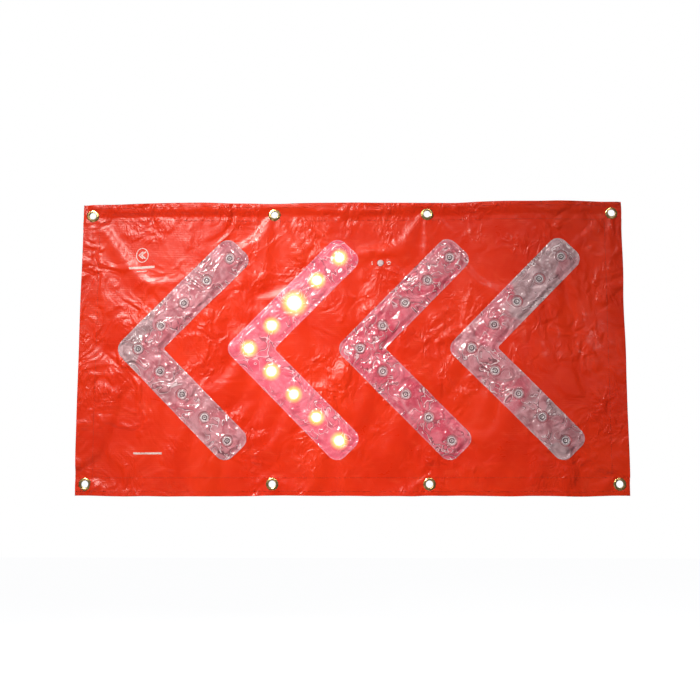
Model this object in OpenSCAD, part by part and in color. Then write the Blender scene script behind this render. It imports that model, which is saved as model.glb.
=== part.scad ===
// Roll-up LED arrow banner: a hemmed vinyl sheet with four chevrons of LEDs under clear
// film, a push button, and a flasher and a battery pocket on its back.
// X runs along the banner, Y points away from the viewer, Z is up.
// The origin is the centre of the eyelet pattern, on the front face of the sheet.

/* [Banner] */
// Width of the vinyl sheet
banner_w = 1220; // [1180:10:1400]
// Height of the vinyl sheet
banner_h = 656; // [640:2:760]
// Thickness of the coated fabric
vinyl_t = 0.6; // [0.4:0.1:0.8]
// Width of the hem that is folded to the back
hem_w = 40; // [36:1:44]
// How far the left bay bulges towards the viewer
left_bulge = 9; // [0:1:14]
// How far the right bay bulges towards the viewer
right_bulge = 11; // [0:1:14]

/* [Eyelets] */
// Radius of the hole in an eyelet
eyelet_hole_r = 8; // [6:0.5:8.5]
// Radius of an eyelet's flange
eyelet_flange_r = 14; // [13:0.5:15]
// Distance of the outer eyelets from the side edges
eyelet_side_inset = 22; // [20:1:24]
// Distance of every eyelet from the top and bottom edges
eyelet_edge_inset = 24.5; // [20:0.5:25]
// Half the distance between the two inner columns of eyelets
inner_eyelet_x = 173; // [165:1:180]

/* [Chevrons] */
// Number of LEDs along each arm, without the one at the apex
leds_per_arm = 4; // [3:1:4]
// Distance between LEDs along an arm
led_pitch = 72; // [66:1:74]
// Angle of an arm above the horizontal
arm_angle = 45.5; // [44:0.5:47]
// Distance between one chevron and the next
chevron_pitch = 248; // [244:1:252]
// X of the first chevron's apex LED
first_apex_x = -475; // [-480:1:-470]
// Height of the apex LEDs above the eyelet pattern's centre
apex_z = -3; // [-6:1:6]
// Width of an arm of clear film
arm_w = 81; // [76:1:84]
// Radius of the film's outer corners
film_corner_r = 24; // [18:1:26]
// Width of the weld round the film
weld_w = 7; // [5:0.5:9]
// Thickness of the clear film
film_t = 0.5; // [0.3:0.1:0.6]
// How far the film stands in front of the sheet
film_rise = 8.6; // [8.2:0.1:9.5]

/* [Button] */
// X of the on-off button
button_x = 67; // [60:1:72]
// Height of the on-off button
button_z = 191; // [186:1:196]
// Radius of the button's cap
button_r = 7.3; // [6:0.1:7.5]
// How far the button travels when it is pressed
button_travel = 1.5; // [1:0.1:1.6]

/* [Battery pocket] */
// Height of the battery case's centre
battery_z = 70; // [66:1:74]
// Width of the battery case
battery_w = 76; // [74:1:80]
// Height of the battery case
battery_h = 70; // [68:1:72]
// Depth of the battery case
battery_d = 22; // [21:0.5:22]

/* [Hidden] */
$fn = 48;

// --- The sheet's wave: flat in the middle bay, one bulge in each outer bay ---
eyelet_x = banner_w / 2 - eyelet_side_inset;
eyelet_z = banner_h / 2 - eyelet_edge_inset;
bay_flat = 18;      // flat stretch beside each column of eyelets
wave_steps = 30;    // facets across one bulge
bays = [
    [-eyelet_x, -inner_eyelet_x, left_bulge],
    [inner_eyelet_x, eyelet_x, right_bulge]
];

function bay_start(bay) = bay[0] + bay_flat;
function bay_length(bay) = bay[1] - bay[0] - 2 * bay_flat;
function hump(t) = t <= 0 || t >= 1 ? 0 : pow(sin(180 * t), 2);
function bulge(x) = bays[0][2] * hump((x - bay_start(bays[0])) / bay_length(bays[0]))
                  + bays[1][2] * hump((x - bay_start(bays[1])) / bay_length(bays[1]));
// Y of the sheet's front face, and the angle at which the sheet runs there
function face_y(x) = -bulge(x);
function face_turn(x) = atan(face_y(x + 0.5) - face_y(x - 0.5));

// X places between x0 and x1 at which the wave is sampled
function wave_stops(x0, x1) = concat(
    [x0],
    [for (bay = bays, i = [0:wave_steps])
        let (x = bay_start(bay) + i * bay_length(bay) / wave_steps)
        if (x > x0 + 0.5 && x < x1 - 0.5) x],
    [x1]
);

// A slab that follows the wave, from d0 to d1 behind the sheet's front face
module wavy_slab(x0, x1, z0, z1, d0, d1) {
    stops = wave_stops(x0, x1);
    last = len(stops) - 1;
    translate([0, 0, z0])
        linear_extrude(height = z1 - z0)
            polygon(concat(
                [for (x = stops) [x, face_y(x) + d0]],
                [for (i = [last:-1:0]) [stops[i], face_y(stops[i]) + d1]]
            ));
}

// Puts a shape on the sheet, with its own +Z pointing through the sheet to the back
module on_sheet(x, z) {
    translate([x, face_y(x), z])
        rotate([0, 0, face_turn(x)])
            rotate([-90, 0, 0])
                children();
}

// A ring from radius r0 to r1, between depths d0 and d1
module ring(r0, r1, d0, d1) {
    translate([0, 0, d0])
        difference() {
            cylinder(r = r1, h = d1 - d0);
            translate([0, 0, -1])
                cylinder(r = r0, h = d1 - d0 + 2);
        }
}

// A box given by its centre in X and Z, its size, and its depths y0 and y1
module block(x, z, w, h, y0, y1) {
    translate([x - w / 2, y0, z - h / 2])
        cube([w, y1 - y0, h]);
}

// The same with its four upright edges rounded to radius r
module rounded_block(x, z, w, h, r, y0, y1) {
    tips = [[-w / 2, -h / 2], [w / 2, -h / 2], [w / 2, h / 2], [-w / 2, h / 2]];
    translate([x, y1, z])
        rotate([90, 0, 0])
            linear_extrude(height = y1 - y0)
                polygon([for (i = [0:3])
                    each corner(tips[(i + 3) % 4], tips[i], tips[(i + 1) % 4], r)]);
}

// A round rod along Y, from y0 to y1
module rod_y(x, z, r, y0, y1) {
    translate([x, y0, z])
        rotate([-90, 0, 0])
            cylinder(r = r, h = y1 - y0);
}

// --- Chevrons ---
chevrons = 4;
led_step = led_pitch * [cos(arm_angle), sin(arm_angle)];
arm_end = led_pitch * leds_per_arm + 34;     // end of an arm, from the apex LED
film_inner_r = 6;                            // radius of the film's one inside corner
corner_steps = 6;                            // facets round a film corner

function apex_x(n) = first_apex_x + (n - 1) * chevron_pitch;
function unit(v) = v / norm(v);
function near_turn(a) = a > 180 ? a - 360 : a < -180 ? a + 360 : a;

// One corner at b, between a and c, rounded to radius r
function corner(a, b, c, r) =
    let (
        u = unit(a - b),
        v = unit(c - b),
        half = acos(u * v) / 2,
        centre = b + unit(u + v) * r / sin(half),
        from = b + u * r / tan(half) - centre,
        to = b + v * r / tan(half) - centre,
        start = atan2(from[1], from[0]),
        sweep = near_turn(atan2(to[1], to[0]) - start)
    )
    [for (i = [0:corner_steps])
        centre + r * [cos(start + sweep * i / corner_steps), sin(start + sweep * i / corner_steps)]];

// The outline of a chevron that points left, inset from the film's edge
function chevron_points(inset) =
    let (
        h = arm_w / 2 - inset,
        end = (arm_end - inset) * [cos(arm_angle), sin(arm_angle)],
        across = h * [-sin(arm_angle), cos(arm_angle)],
        outer = end + across,
        inner = end - across,
        point = h / sin(arm_angle),
        tips = [
            [-point, 0], [outer[0], -outer[1]], [inner[0], -inner[1]],
            [point, 0], inner, outer
        ],
        count = len(tips)
    )
    [for (i = [0:count - 1])
        each corner(
            tips[(i + count - 1) % count], tips[i], tips[(i + 1) % count],
            i == 3 ? film_inner_r + inset : film_corner_r - inset
        )];

module chevron_prism(n, inset) {
    translate([apex_x(n), 40, apex_z])
        rotate([90, 0, 0])
            linear_extrude(height = 80)
                polygon(chevron_points(inset));
}

// A chevron-shaped slab that follows the sheet, from d0 to d1
module chevron_slab(n, inset, d0, d1) {
    intersection() {
        chevron_prism(n, inset);
        wavy_slab(
            apex_x(n) - arm_w, apex_x(n) + arm_end, apex_z - arm_end, apex_z + arm_end, d0, d1
        );
    }
}

// LED places on one chevron: the apex, then out along the upper and the lower arm
led_places = concat(
    [[0, 0]],
    [for (side = [1, -1], i = [1:leds_per_arm]) i * [led_step[0], side * led_step[1]]]
);

module each_led(n) {
    for (place = led_places)
        on_sheet(apex_x(n) + place[0], apex_z + place[1])
            children();
}

// Clear film: a welded rim on the sheet and a raised middle over the LEDs
module window_film(n) {
    color([0.95, 0.72, 0.75, 0.45])
        union() {
            difference() {
                chevron_slab(n, 0, -film_t, 0);
                chevron_prism(n, weld_w + film_t);
            }
            difference() {
                chevron_slab(n, weld_w, -film_rise, 0);
                chevron_slab(n, weld_w + film_t, -film_rise + film_t, 1);
            }
        }
}

// --- LED modules, in depths behind the sheet's front face ---
fit_gap = 0.12;                // between a flat LED part and the curved sheet
led_hole_r = 6.7;
barrel_r = 6.45;
barrel_back = 3.0;
lens_r = 5;

// Snap-in holder: a dished collar in front of the sheet and a barrel through it
module led_holders(n) {
    color([0.86, 0.86, 0.88])
        each_led(n)
            rotate_extrude()
                polygon([
                    [lens_r + 0.1, barrel_back], [lens_r + 0.1, -0.9], [7.6, -0.9],
                    [9.2, -2.2], [10.6, -2.4], [11.6, -1.9], [12, -0.9], [12, -fit_gap],
                    [barrel_r, -fit_gap], [barrel_r, barrel_back]
                ]);
}

// Clear lens: a short body with a round dome
module led_lenses(n) {
    color([0.96, 0.9, 0.9, 0.6])
        each_led(n)
            rotate_extrude()
                difference() {
                    union() {
                        translate([0, -2.6])
                            square([lens_r, 2.6 + barrel_back]);
                        translate([0, -2.6])
                            circle(r = lens_r);
                    }
                    translate([-2 * lens_r, -4 * lens_r])
                        square([2 * lens_r, 8 * lens_r]);
                }
}

// Retaining ring that grips the barrel behind the sheet
module led_rings(n) {
    color([0.2, 0.2, 0.21])
        each_led(n)
            ring(barrel_r + 0.05, 9.5, vinyl_t + fit_gap, 2.6);
}

board_front = barrel_back + 0.05;
board_back = board_front + 1;
wire_depth = 5.4;
wire_r = 0.8;
cavity_back = 7;               // depth of the liner's inner face

// Small round circuit board behind each lens
module led_boards(n) {
    color([0.13, 0.38, 0.2])
        each_led(n)
            translate([0, 0, board_front])
                cylinder(r = 9, h = board_back - board_front);
}

// A straight wire between two places on the sheet, at the wires' depth
module wire_run(a, b) {
    p = [a[0], face_y(a[0]) + wire_depth, a[1]];
    q = [b[0], face_y(b[0]) + wire_depth, b[1]];
    run = q - p;
    translate(p)
        rotate([0, acos(run[2] / norm(run)), atan2(run[1], run[0])])
            cylinder(r = wire_r, h = norm(run));
}

// A chain of wires through a list of places
module wire_chain(places) {
    for (i = [0:len(places) - 2])
        wire_run(places[i], places[i + 1]);
}

// One side's LED places, from the apex out along the arm
function arm_places(n, side) =
    [for (i = [0:leds_per_arm])
        [apex_x(n) + i * led_step[0], apex_z + side * i * led_step[1]]];

// Wires from LED to LED, with a drop of potting on the back of each board
module led_wires(n) {
    color([0.12, 0.12, 0.13])
        union() {
            wire_chain(arm_places(n, 1));
            wire_chain(arm_places(n, -1));
            each_led(n)
                translate([0, 0, board_back])
                    cylinder(r = 2.4, h = wire_depth + wire_r + 0.1 - board_back);
        }
}

// --- The sheet and its back liner ---
module eyelet_places(sides = [1, -1]) {
    for (side = sides, x = [-eyelet_x, -inner_eyelet_x, inner_eyelet_x, eyelet_x])
        translate([x, 0, side * eyelet_z])
            rotate([-90, 0, 0])
                children();
}

eyelet_barrel_r = eyelet_hole_r + 0.9;
button_hole_r = button_r + 0.7;

// Holes for the eyelets' barrels
module eyelet_holes(sides = [1, -1]) {
    eyelet_places(sides)
        translate([0, 0, -2])
            cylinder(r = eyelet_barrel_r + 0.15, h = 6);
}

// Vinyl sheet, one layer of coated fabric
module front_sheet() {
    w = banner_w / 2;
    h = banner_h / 2;
    color([0.93, 0.2, 0.09])
        difference() {
            wavy_slab(-w, w, -h, h, 0, vinyl_t);
            eyelet_holes();
            for (n = [1:chevrons])
                each_led(n)
                    translate([0, 0, -2])
                        cylinder(r = led_hole_r, h = 6);
            rod_y(button_x, button_z, button_hole_r, -2, 4);
        }
}

// Hem along the top (side 1) or the bottom (side -1), in five lengths: three flat ones that
// carry the eyelets, and a curved one over each bulge
hem_cut = 0.1;      // gap between two lengths
hem_ends = [
    -banner_w / 2, -eyelet_x + bay_flat, -inner_eyelet_x - bay_flat,
    inner_eyelet_x + bay_flat, eyelet_x - bay_flat, banner_w / 2
];

module long_hem(side) {
    edge = side * banner_h / 2;
    inner = side * (banner_h / 2 - hem_w);
    color([0.93, 0.2, 0.09])
        difference() {
            for (i = [0:4])
                wavy_slab(
                    hem_ends[i] + (i > 0 ? hem_cut : 0), hem_ends[i + 1],
                    min(edge, inner), max(edge, inner), vinyl_t, 2 * vinyl_t
                );
            eyelet_holes([side]);
        }
}

// Hem on the right (side 1) or the left (side -1), between the long hems
module side_hem(side) {
    h = banner_h / 2 - hem_w - 0.1;
    edge = side * banner_w / 2;
    inner = side * (banner_w / 2 - hem_w);
    color([0.93, 0.2, 0.09])
        wavy_slab(min(edge, inner), max(edge, inner), -h, h, vinyl_t, 2 * vinyl_t);
}

liner_gap = 2;      // between the liner and the hem
liner_w = banner_w - 2 * (hem_w + liner_gap);
liner_h = banner_h - 2 * (hem_w + liner_gap);
liner_rim = 12;
liner_back = cavity_back + vinyl_t;
flasher_w = 66;
flasher_h = 48;
lead_hole_r = 4;

// Back liner: a flat rim welded inside the hem, and a raised panel over the wiring
module back_liner() {
    w = liner_w / 2;
    h = liner_h / 2;
    inner = liner_rim + vinyl_t;
    color([0.9, 0.22, 0.1])
        difference() {
            union() {
                wavy_slab(-w, w, -h, h, vinyl_t, 2 * vinyl_t);
                wavy_slab(
                    -w + liner_rim, w - liner_rim, -h + liner_rim, h - liner_rim,
                    vinyl_t, liner_back
                );
            }
            wavy_slab(-w + inner, w - inner, -h + inner, h - inner, -1, cavity_back);
            rounded_block(
                button_x, button_z, flasher_w + 1, flasher_h + 1, case_corner_r + 0.5, 0, 20
            );
            rod_y(button_x, battery_z, lead_hole_r, 0, 20);
        }
}

// --- Eyelets: a flanged barrel through the hem, rolled over a washer at the back ---
hem_t = 2 * vinyl_t;
washer_t = 0.9;

module eyelet_profile() {
    roll = hem_t + washer_t;
    r0 = eyelet_hole_r;
    r1 = eyelet_flange_r;
    polygon([
        [r0, roll + 0.5], [r0, -1.1], [r0 + 0.5, -1.7], [r0 + 1.8, -2.1], [r1 - 2.2, -1.8],
        [r1 - 0.6, -1.1], [r1, -0.5], [r1, -0.05], [r1 - 0.8, -0.05], [eyelet_barrel_r, -0.05],
        [eyelet_barrel_r, roll + 0.05], [r0 + 2.6, roll + 0.05], [r0 + 2.9, roll + 0.5],
        [r0 + 2.4, roll + 1], [r0 + 1, roll + 1.2]
    ]);
}

module eyelets(side) {
    color([0.8, 0.66, 0.36])
        eyelet_places([side])
            rotate_extrude()
                eyelet_profile();
}

module eyelet_washers(side) {
    color([0.78, 0.64, 0.35])
        eyelet_places([side])
            ring(eyelet_barrel_r + 0.1, eyelet_flange_r - 0.5, hem_t + 0.05, hem_t + washer_t);
}

// --- Flasher: the case behind the button ---
case_front = 0.9;                // front face of the case, just behind the sheet
case_wall = 2;
case_corner_r = 5;
case_back = 21;
lid_t = 2;
boss_r = 3;
screw_r = 1.2;
board_y = 10;
board_t = 1.6;
boss_x = flasher_w / 2 - case_wall - boss_r + 0.5;
boss_z = flasher_h / 2 - case_wall - boss_r + 0.5;

module at_bosses() {
    for (x = [-boss_x, boss_x], z = [-boss_z, boss_z])
        translate([button_x + x, 0, button_z + z])
            children();
}

module flasher_case() {
    inner_w = flasher_w - 2 * case_wall;
    inner_h = flasher_h - 2 * case_wall;
    color([0.13, 0.13, 0.14])
        difference() {
            union() {
                difference() {
                    rounded_block(
                        button_x, button_z, flasher_w, flasher_h, case_corner_r,
                        case_front, case_back - lid_t
                    );
                    rounded_block(
                        button_x, button_z, inner_w, inner_h, case_corner_r - case_wall,
                        case_front + case_wall, case_back
                    );
                }
                at_bosses()
                    rod_y(0, 0, boss_r, case_front + case_wall - 0.5, case_back - lid_t);
            }
            at_bosses()
                rod_y(0, 0, screw_r, case_front + case_wall + 1, case_back);
            rod_y(button_x, button_z, button_r + 0.3, -1, case_front + case_wall + 1);
            // cable entry in the bottom wall
            translate([button_x, wire_depth, button_z - flasher_h / 2 - 1])
                cylinder(r = 2.2, h = case_wall + 2);
        }
}

// Lid with a stepped edge and a shallow round dish over the switch
module flasher_lid() {
    step = lid_t / 2;
    color([0.15, 0.15, 0.16])
        difference() {
            union() {
                rounded_block(
                    button_x, button_z, flasher_w, flasher_h, case_corner_r,
                    case_back - lid_t, case_back - step
                );
                rounded_block(
                    button_x, button_z, flasher_w - 2 * step, flasher_h - 2 * step,
                    case_corner_r - step, case_back - lid_t, case_back
                );
            }
            rod_y(button_x, button_z, 13, case_back - 0.6, case_back + 1);
            at_bosses()
                rod_y(0, 0, screw_r + 0.4, case_back - lid_t - 1, case_back + 1);
        }
}

// A pan-head screw whose head stands on a lid at y, with its shank towards -Y
module screw(y, shank) {
    difference() {
        union() {
            rod_y(0, 0, 2.6, y + 0.02, y + 1.4);
            rod_y(0, 0, screw_r - 0.05, y - shank, y + 0.5);
        }
        block(0, 0, 3.2, 0.7, y + 0.7, y + 2);
        block(0, 0, 0.7, 3.2, y + 0.7, y + 2);
    }
}

module flasher_screws() {
    color([0.7, 0.7, 0.72])
        at_bosses()
            screw(case_back, 12);
}

// Flat gasket that closes the liner's window round the case
module case_gasket() {
    color([0.2, 0.2, 0.2])
        difference() {
            rounded_block(
                button_x, button_z, flasher_w + 18, flasher_h + 18, case_corner_r + 9,
                liner_back, liner_back + 1.6
            );
            rounded_block(
                button_x, button_z, flasher_w + 0.3, flasher_h + 0.3, case_corner_r + 0.15, 0, 20
            );
        }
}

module circuit_board() {
    color([0.1, 0.36, 0.18])
        difference() {
            rounded_block(
                button_x, button_z, flasher_w - 2 * case_wall - 1, flasher_h - 2 * case_wall - 1,
                case_corner_r - case_wall, board_y, board_y + board_t
            );
            at_bosses()
                rod_y(0, 0, boss_r + 0.3, board_y - 1, board_y + board_t + 1);
        }
}

// Timer chip, driver transistors and a capacitor on the board's back
module board_parts() {
    back = board_y + board_t;
    color([0.16, 0.16, 0.17])
        union() {
            block(button_x - 8, button_z + 4, 10, 7, back, back + 2.2);
            for (i = [0:3])
                block(button_x - 12 + 8 * i, button_z - 10, 5, 4, back, back + 1.6);
        }
    color([0.1, 0.12, 0.3])
        rod_y(button_x + 14, button_z + 6, 4, back, back + 5.5);
}

switch_front = 8.5;
module tact_switch() {
    color([0.1, 0.1, 0.1])
        block(button_x, button_z, 12, 12, switch_front, board_y);
}

// Push button: a domed cap through the sheet, a retaining flange and a stem
flange_front = case_front + case_wall + 0.1;
flange_back = flange_front + 1.2;
stem_end = switch_front - button_travel - 0.15;
module on_off_button() {
    color([0.93, 0.9, 0.9])
        translate([button_x, 0, button_z])
            rotate([-90, 0, 0])
                rotate_extrude()
                    polygon([
                        [0, -1.8], [button_r * 0.5, -1.75], [button_r - 1.2, -1.5],
                        [button_r - 0.3, -1], [button_r, -0.3], [button_r, flange_front],
                        [button_r + 1.5, flange_front], [button_r + 1.5, flange_back],
                        [3, flange_back], [3, stem_end], [0, stem_end]
                    ]);
}

// Coil spring between the button's flange and the switch, swept as one tube
spring_turns = 3;
spring_r = 4.6;
spring_wire_r = 0.3;
spring_from = flange_back + spring_wire_r + 0.05;
spring_to = switch_front - spring_wire_r - 0.05;
ring_sides = 6;
rings_per_turn = 16;
spring_rings = spring_turns * rings_per_turn;

function spring_point(i, j) =
    let (
        around = 360 * i / rings_per_turn,
        side = 360 * j / ring_sides,
        r = spring_r + spring_wire_r * cos(side),
        along = spring_from + (spring_to - spring_from) * i / spring_rings
    )
    [r * cos(around), along + spring_wire_r * sin(side), r * sin(around)];

module button_spring() {
    points = [for (i = [0:spring_rings], j = [0:ring_sides - 1]) spring_point(i, j)];
    sides = [for (i = [0:spring_rings - 1], j = [0:ring_sides - 1])
        let (
            a = i * ring_sides + j,
            b = i * ring_sides + (j + 1) % ring_sides
        )
        [a, a + ring_sides, b + ring_sides, b]];
    near_end = [for (j = [0:ring_sides - 1]) j];
    far_end = [for (j = [ring_sides - 1:-1:0]) spring_rings * ring_sides + j];
    color([0.75, 0.75, 0.77])
        translate([button_x, 0, button_z])
            polyhedron(points, concat(sides, [near_end, far_end]));
}

// --- Leads inside the liner ---
channel_x = (apex_x(2) + apex_x(3)) / 2;      // between the second and the third chevron
trunk_gap = 3.4;                              // the trunk stops this far from an apex LED
ribbon_w = 3.2;
ribbon_t = 1.6;

// One side of a mitred path of half width h, at its point i
function mitre(path, i, h) =
    let (
        before = unit(path[max(i, 1)] - path[max(i, 1) - 1]),
        after = i < len(path) - 1 ? unit(path[i + 1] - path[i]) : before,
        middle = unit(before + after)
    )
    path[i] + h / (middle * after) * [-middle[1], middle[0]];

// Flat trunk lead: runs between the apexes, and a branch up the channel to the flasher
module trunk_lead() {
    foot_z = button_z - flasher_h / 2;
    rise = foot_z - 26 - apex_z;
    front = wire_depth - ribbon_t / 2;
    branch = [
        [channel_x, apex_z],
        [channel_x + rise, apex_z + rise],
        [button_x, foot_z - 8],
        [button_x, foot_z + 1.5]
    ];
    last = len(branch) - 1;
    color([0.1, 0.1, 0.11])
        union() {
            for (n = [1:chevrons - 1])
                wavy_slab(
                    apex_x(n) + trunk_gap, apex_x(n + 1) - trunk_gap,
                    apex_z - ribbon_w / 2, apex_z + ribbon_w / 2, front, front + ribbon_t
                );
            translate([0, front + ribbon_t, 0])
                rotate([90, 0, 0])
                    linear_extrude(height = ribbon_t)
                        polygon(concat(
                            [for (i = [0:last]) mitre(branch, i, ribbon_w / 2)],
                            [for (i = [last:-1:0]) mitre(branch, i, -ribbon_w / 2)]
                        ));
        }
}

lead_r = 1.6;
pocket_front = liner_back;
battery_front = pocket_front + 1;
battery_back = battery_front + battery_d;

// Lead from the flasher down to the battery case, through a hole in the liner
module battery_lead() {
    lead_y = cavity_back - lead_r - 0.3;
    x = button_x + 8;
    top = button_z - flasher_h / 2 - 0.05;
    color([0.08, 0.08, 0.09])
        union() {
            translate([x, lead_y, battery_z])
                cylinder(r = lead_r, h = top - battery_z);
            translate([button_x, lead_y, battery_z])
                rotate([0, 90, 0])
                    cylinder(r = lead_r, h = x - button_x);
            rod_y(button_x, battery_z, lead_r, lead_y, battery_front - 0.1);
            translate([x, lead_y, battery_z])
                sphere(r = lead_r + 0.2);
            translate([button_x, lead_y, battery_z])
                sphere(r = lead_r + 0.2);
        }
}

// --- Battery case in its pocket ---
cell_r = 7.1;
cell_l = 50;
cell_pitch = 15.6;
cells = 4;
case_t = 1.8;
cover_t = 1.8;
battery_corner_r = 4;
cell_y = battery_front + case_t + cell_r + 0.4;
lug = 5;

module battery_corners() {
    for (side = [-1, 1], end = [-1, 1])
        translate([
            button_x + side * (battery_w / 2 - lug), 0, battery_z + end * (battery_h / 2 - lug)
        ])
            children();
}

module battery_case() {
    color([0.1, 0.1, 0.1])
        difference() {
            union() {
                difference() {
                    rounded_block(
                        button_x, battery_z, battery_w, battery_h, battery_corner_r,
                        battery_front, battery_back - cover_t
                    );
                    rounded_block(
                        button_x, battery_z, battery_w - 2 * case_t, battery_h - 2 * case_t,
                        battery_corner_r - case_t, battery_front + case_t, battery_back
                    );
                }
                battery_corners()
                    rod_y(0, 0, 2.6, battery_front + case_t - 0.5, battery_back - cover_t);
            }
            battery_corners()
                rod_y(0, 0, screw_r, battery_front + case_t + 3, battery_back);
            rod_y(button_x, battery_z, lead_r + 0.2, battery_front - 1, battery_front + case_t + 1);
        }
}

module battery_cover() {
    color([0.12, 0.12, 0.12])
        difference() {
            rounded_block(
                button_x, battery_z, battery_w, battery_h, battery_corner_r,
                battery_back - cover_t + 0.05, battery_back
            );
            battery_corners()
                rod_y(0, 0, screw_r + 0.4, battery_back - cover_t - 1, battery_back + 1);
        }
}

module cover_screws() {
    color([0.7, 0.7, 0.72])
        battery_corners()
            screw(battery_back, 10);
}

function cell_x(i) = button_x + (i - (cells - 1) / 2) * cell_pitch;

// Four round cells, alternate ends up, each with its raised positive cap
module battery_cells() {
    color([0.3, 0.32, 0.34])
        for (i = [0:cells - 1])
            translate([cell_x(i), cell_y, battery_z])
                rotate([i % 2 == 0 ? 0 : 180, 0, 0])
                    union() {
                        translate([0, 0, -cell_l / 2])
                            cylinder(r = cell_r, h = cell_l - 1.2);
                        translate([0, 0, cell_l / 2 - 1.3])
                            cylinder(r = 2.7, h = 1.3);
                    }
}

// Contact plates at both ends of the row, each as wide as two cells at one end
module contact_plates() {
    z0 = battery_h / 2 - case_t - 0.5;
    color([0.75, 0.75, 0.74])
        for (i = [0:cells - 1], side = [1, -1])
            block(cell_x(i), battery_z + side * z0, 10, 0.6, cell_y - 5, cell_y + 5);
}

// Conical contact springs on each cell's flat end
module contact_springs() {
    room = battery_h / 2 - case_t - 0.85 - cell_l / 2;
    color([0.8, 0.8, 0.8])
        for (i = [0:cells - 1])
            translate([cell_x(i), cell_y, battery_z + (i % 2 == 0 ? -1 : 1) * (cell_l / 2 + room / 2)])
                rotate([i % 2 == 0 ? 0 : 180, 0, 0])
                    difference() {
                        cylinder(r1 = 4.6, r2 = 3, h = room - 0.1, center = true);
                        cylinder(r1 = 3.8, r2 = 2.2, h = room + 0.1, center = true);
                    }
}

pocket_t = 0.8;
pocket_w = battery_w + 14;
pocket_foot = battery_z - battery_h / 2 - 8;
pocket_mouth = battery_z + battery_h / 2 + 6;
pocket_back = battery_back + 2.4;
pocket_flange = 10;

// Battery pocket: back panel, two gussets and a bottom, with flanges welded to the liner
module battery_pocket() {
    z = (pocket_foot + pocket_mouth) / 2;
    h = pocket_mouth - pocket_foot;
    color([0.88, 0.2, 0.1])
        difference() {
            union() {
                block(button_x, z, pocket_w, h, pocket_front, pocket_back + pocket_t);
                block(
                    button_x, z - pocket_flange / 2, pocket_w + 2 * pocket_flange, h + pocket_flange,
                    pocket_front, pocket_front + pocket_t
                );
            }
            block(
                button_x, z + pocket_t, pocket_w - 2 * pocket_t, h,
                pocket_front - 1, pocket_back
            );
        }
}

strip_t = 0.4;
strip_w = 60;
strip_h = 20;
strip_z = battery_z + 12;
panel_back = pocket_back + pocket_t;
tongue_front = panel_back + 2 * strip_t + 0.2;
flap_t = 0.8;
flap_w = pocket_w + 6;
flap_axis_y = pocket_front + pocket_t;
flap_axis_z = pocket_mouth + 3.2;
flap_foot = battery_z - 4;

module loop_strip() {
    color([0.12, 0.12, 0.12])
        block(button_x, strip_z, strip_w, strip_h, panel_back, panel_back + strip_t);
}

module hook_strip() {
    color([0.14, 0.14, 0.14])
        block(button_x, strip_z, strip_w, strip_h, tongue_front - strip_t, tongue_front);
}

// Flap over the pocket's mouth: a roof and a tongue that hangs down over the back panel
module pocket_flap() {
    roof_z = flap_axis_z - flap_t;
    color([0.9, 0.22, 0.1])
        union() {
            block(
                button_x, roof_z + flap_t / 2, flap_w, flap_t,
                flap_axis_y + 0.5, tongue_front + flap_t
            );
            block(
                button_x, (flap_foot + flap_axis_z) / 2, flap_w, flap_axis_z - flap_foot,
                tongue_front, tongue_front + flap_t
            );
        }
}

// Strip that fixes the flap to the liner, above the fold
module flap_anchor() {
    color([0.88, 0.2, 0.1])
        block(button_x, flap_axis_z + 6.2, flap_w, 12, pocket_front, pocket_front + pocket_t);
}

front_sheet();
long_hem(1);  // hem_top
long_hem(-1);  // hem_bottom
side_hem(-1);  // hem_left
side_hem(1);  // hem_right
back_liner();
for (n = [1:chevrons]) {
    window_film(n);
    led_holders(n);
    led_lenses(n);
    led_rings(n);
    led_boards(n);
    led_wires(n);
}
trunk_lead();
battery_lead();
eyelets(1);  // eyelets_top
eyelets(-1);  // eyelets_bottom
eyelet_washers(1);  // washers_top
eyelet_washers(-1);  // washers_bottom
on_off_button();
button_spring();
tact_switch();
circuit_board();
board_parts();
flasher_case();
flasher_lid();
flasher_screws();
case_gasket();
battery_pocket();
battery_case();
battery_cover();
cover_screws();
battery_cells();
contact_plates();
contact_springs();
flap_anchor();
pocket_flap();
hook_strip();
loop_strip();
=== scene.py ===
# Roll-up LED arrow banner: the vinyl, the clear film over the LEDs, and the cases and pocket behind
import math

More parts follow.
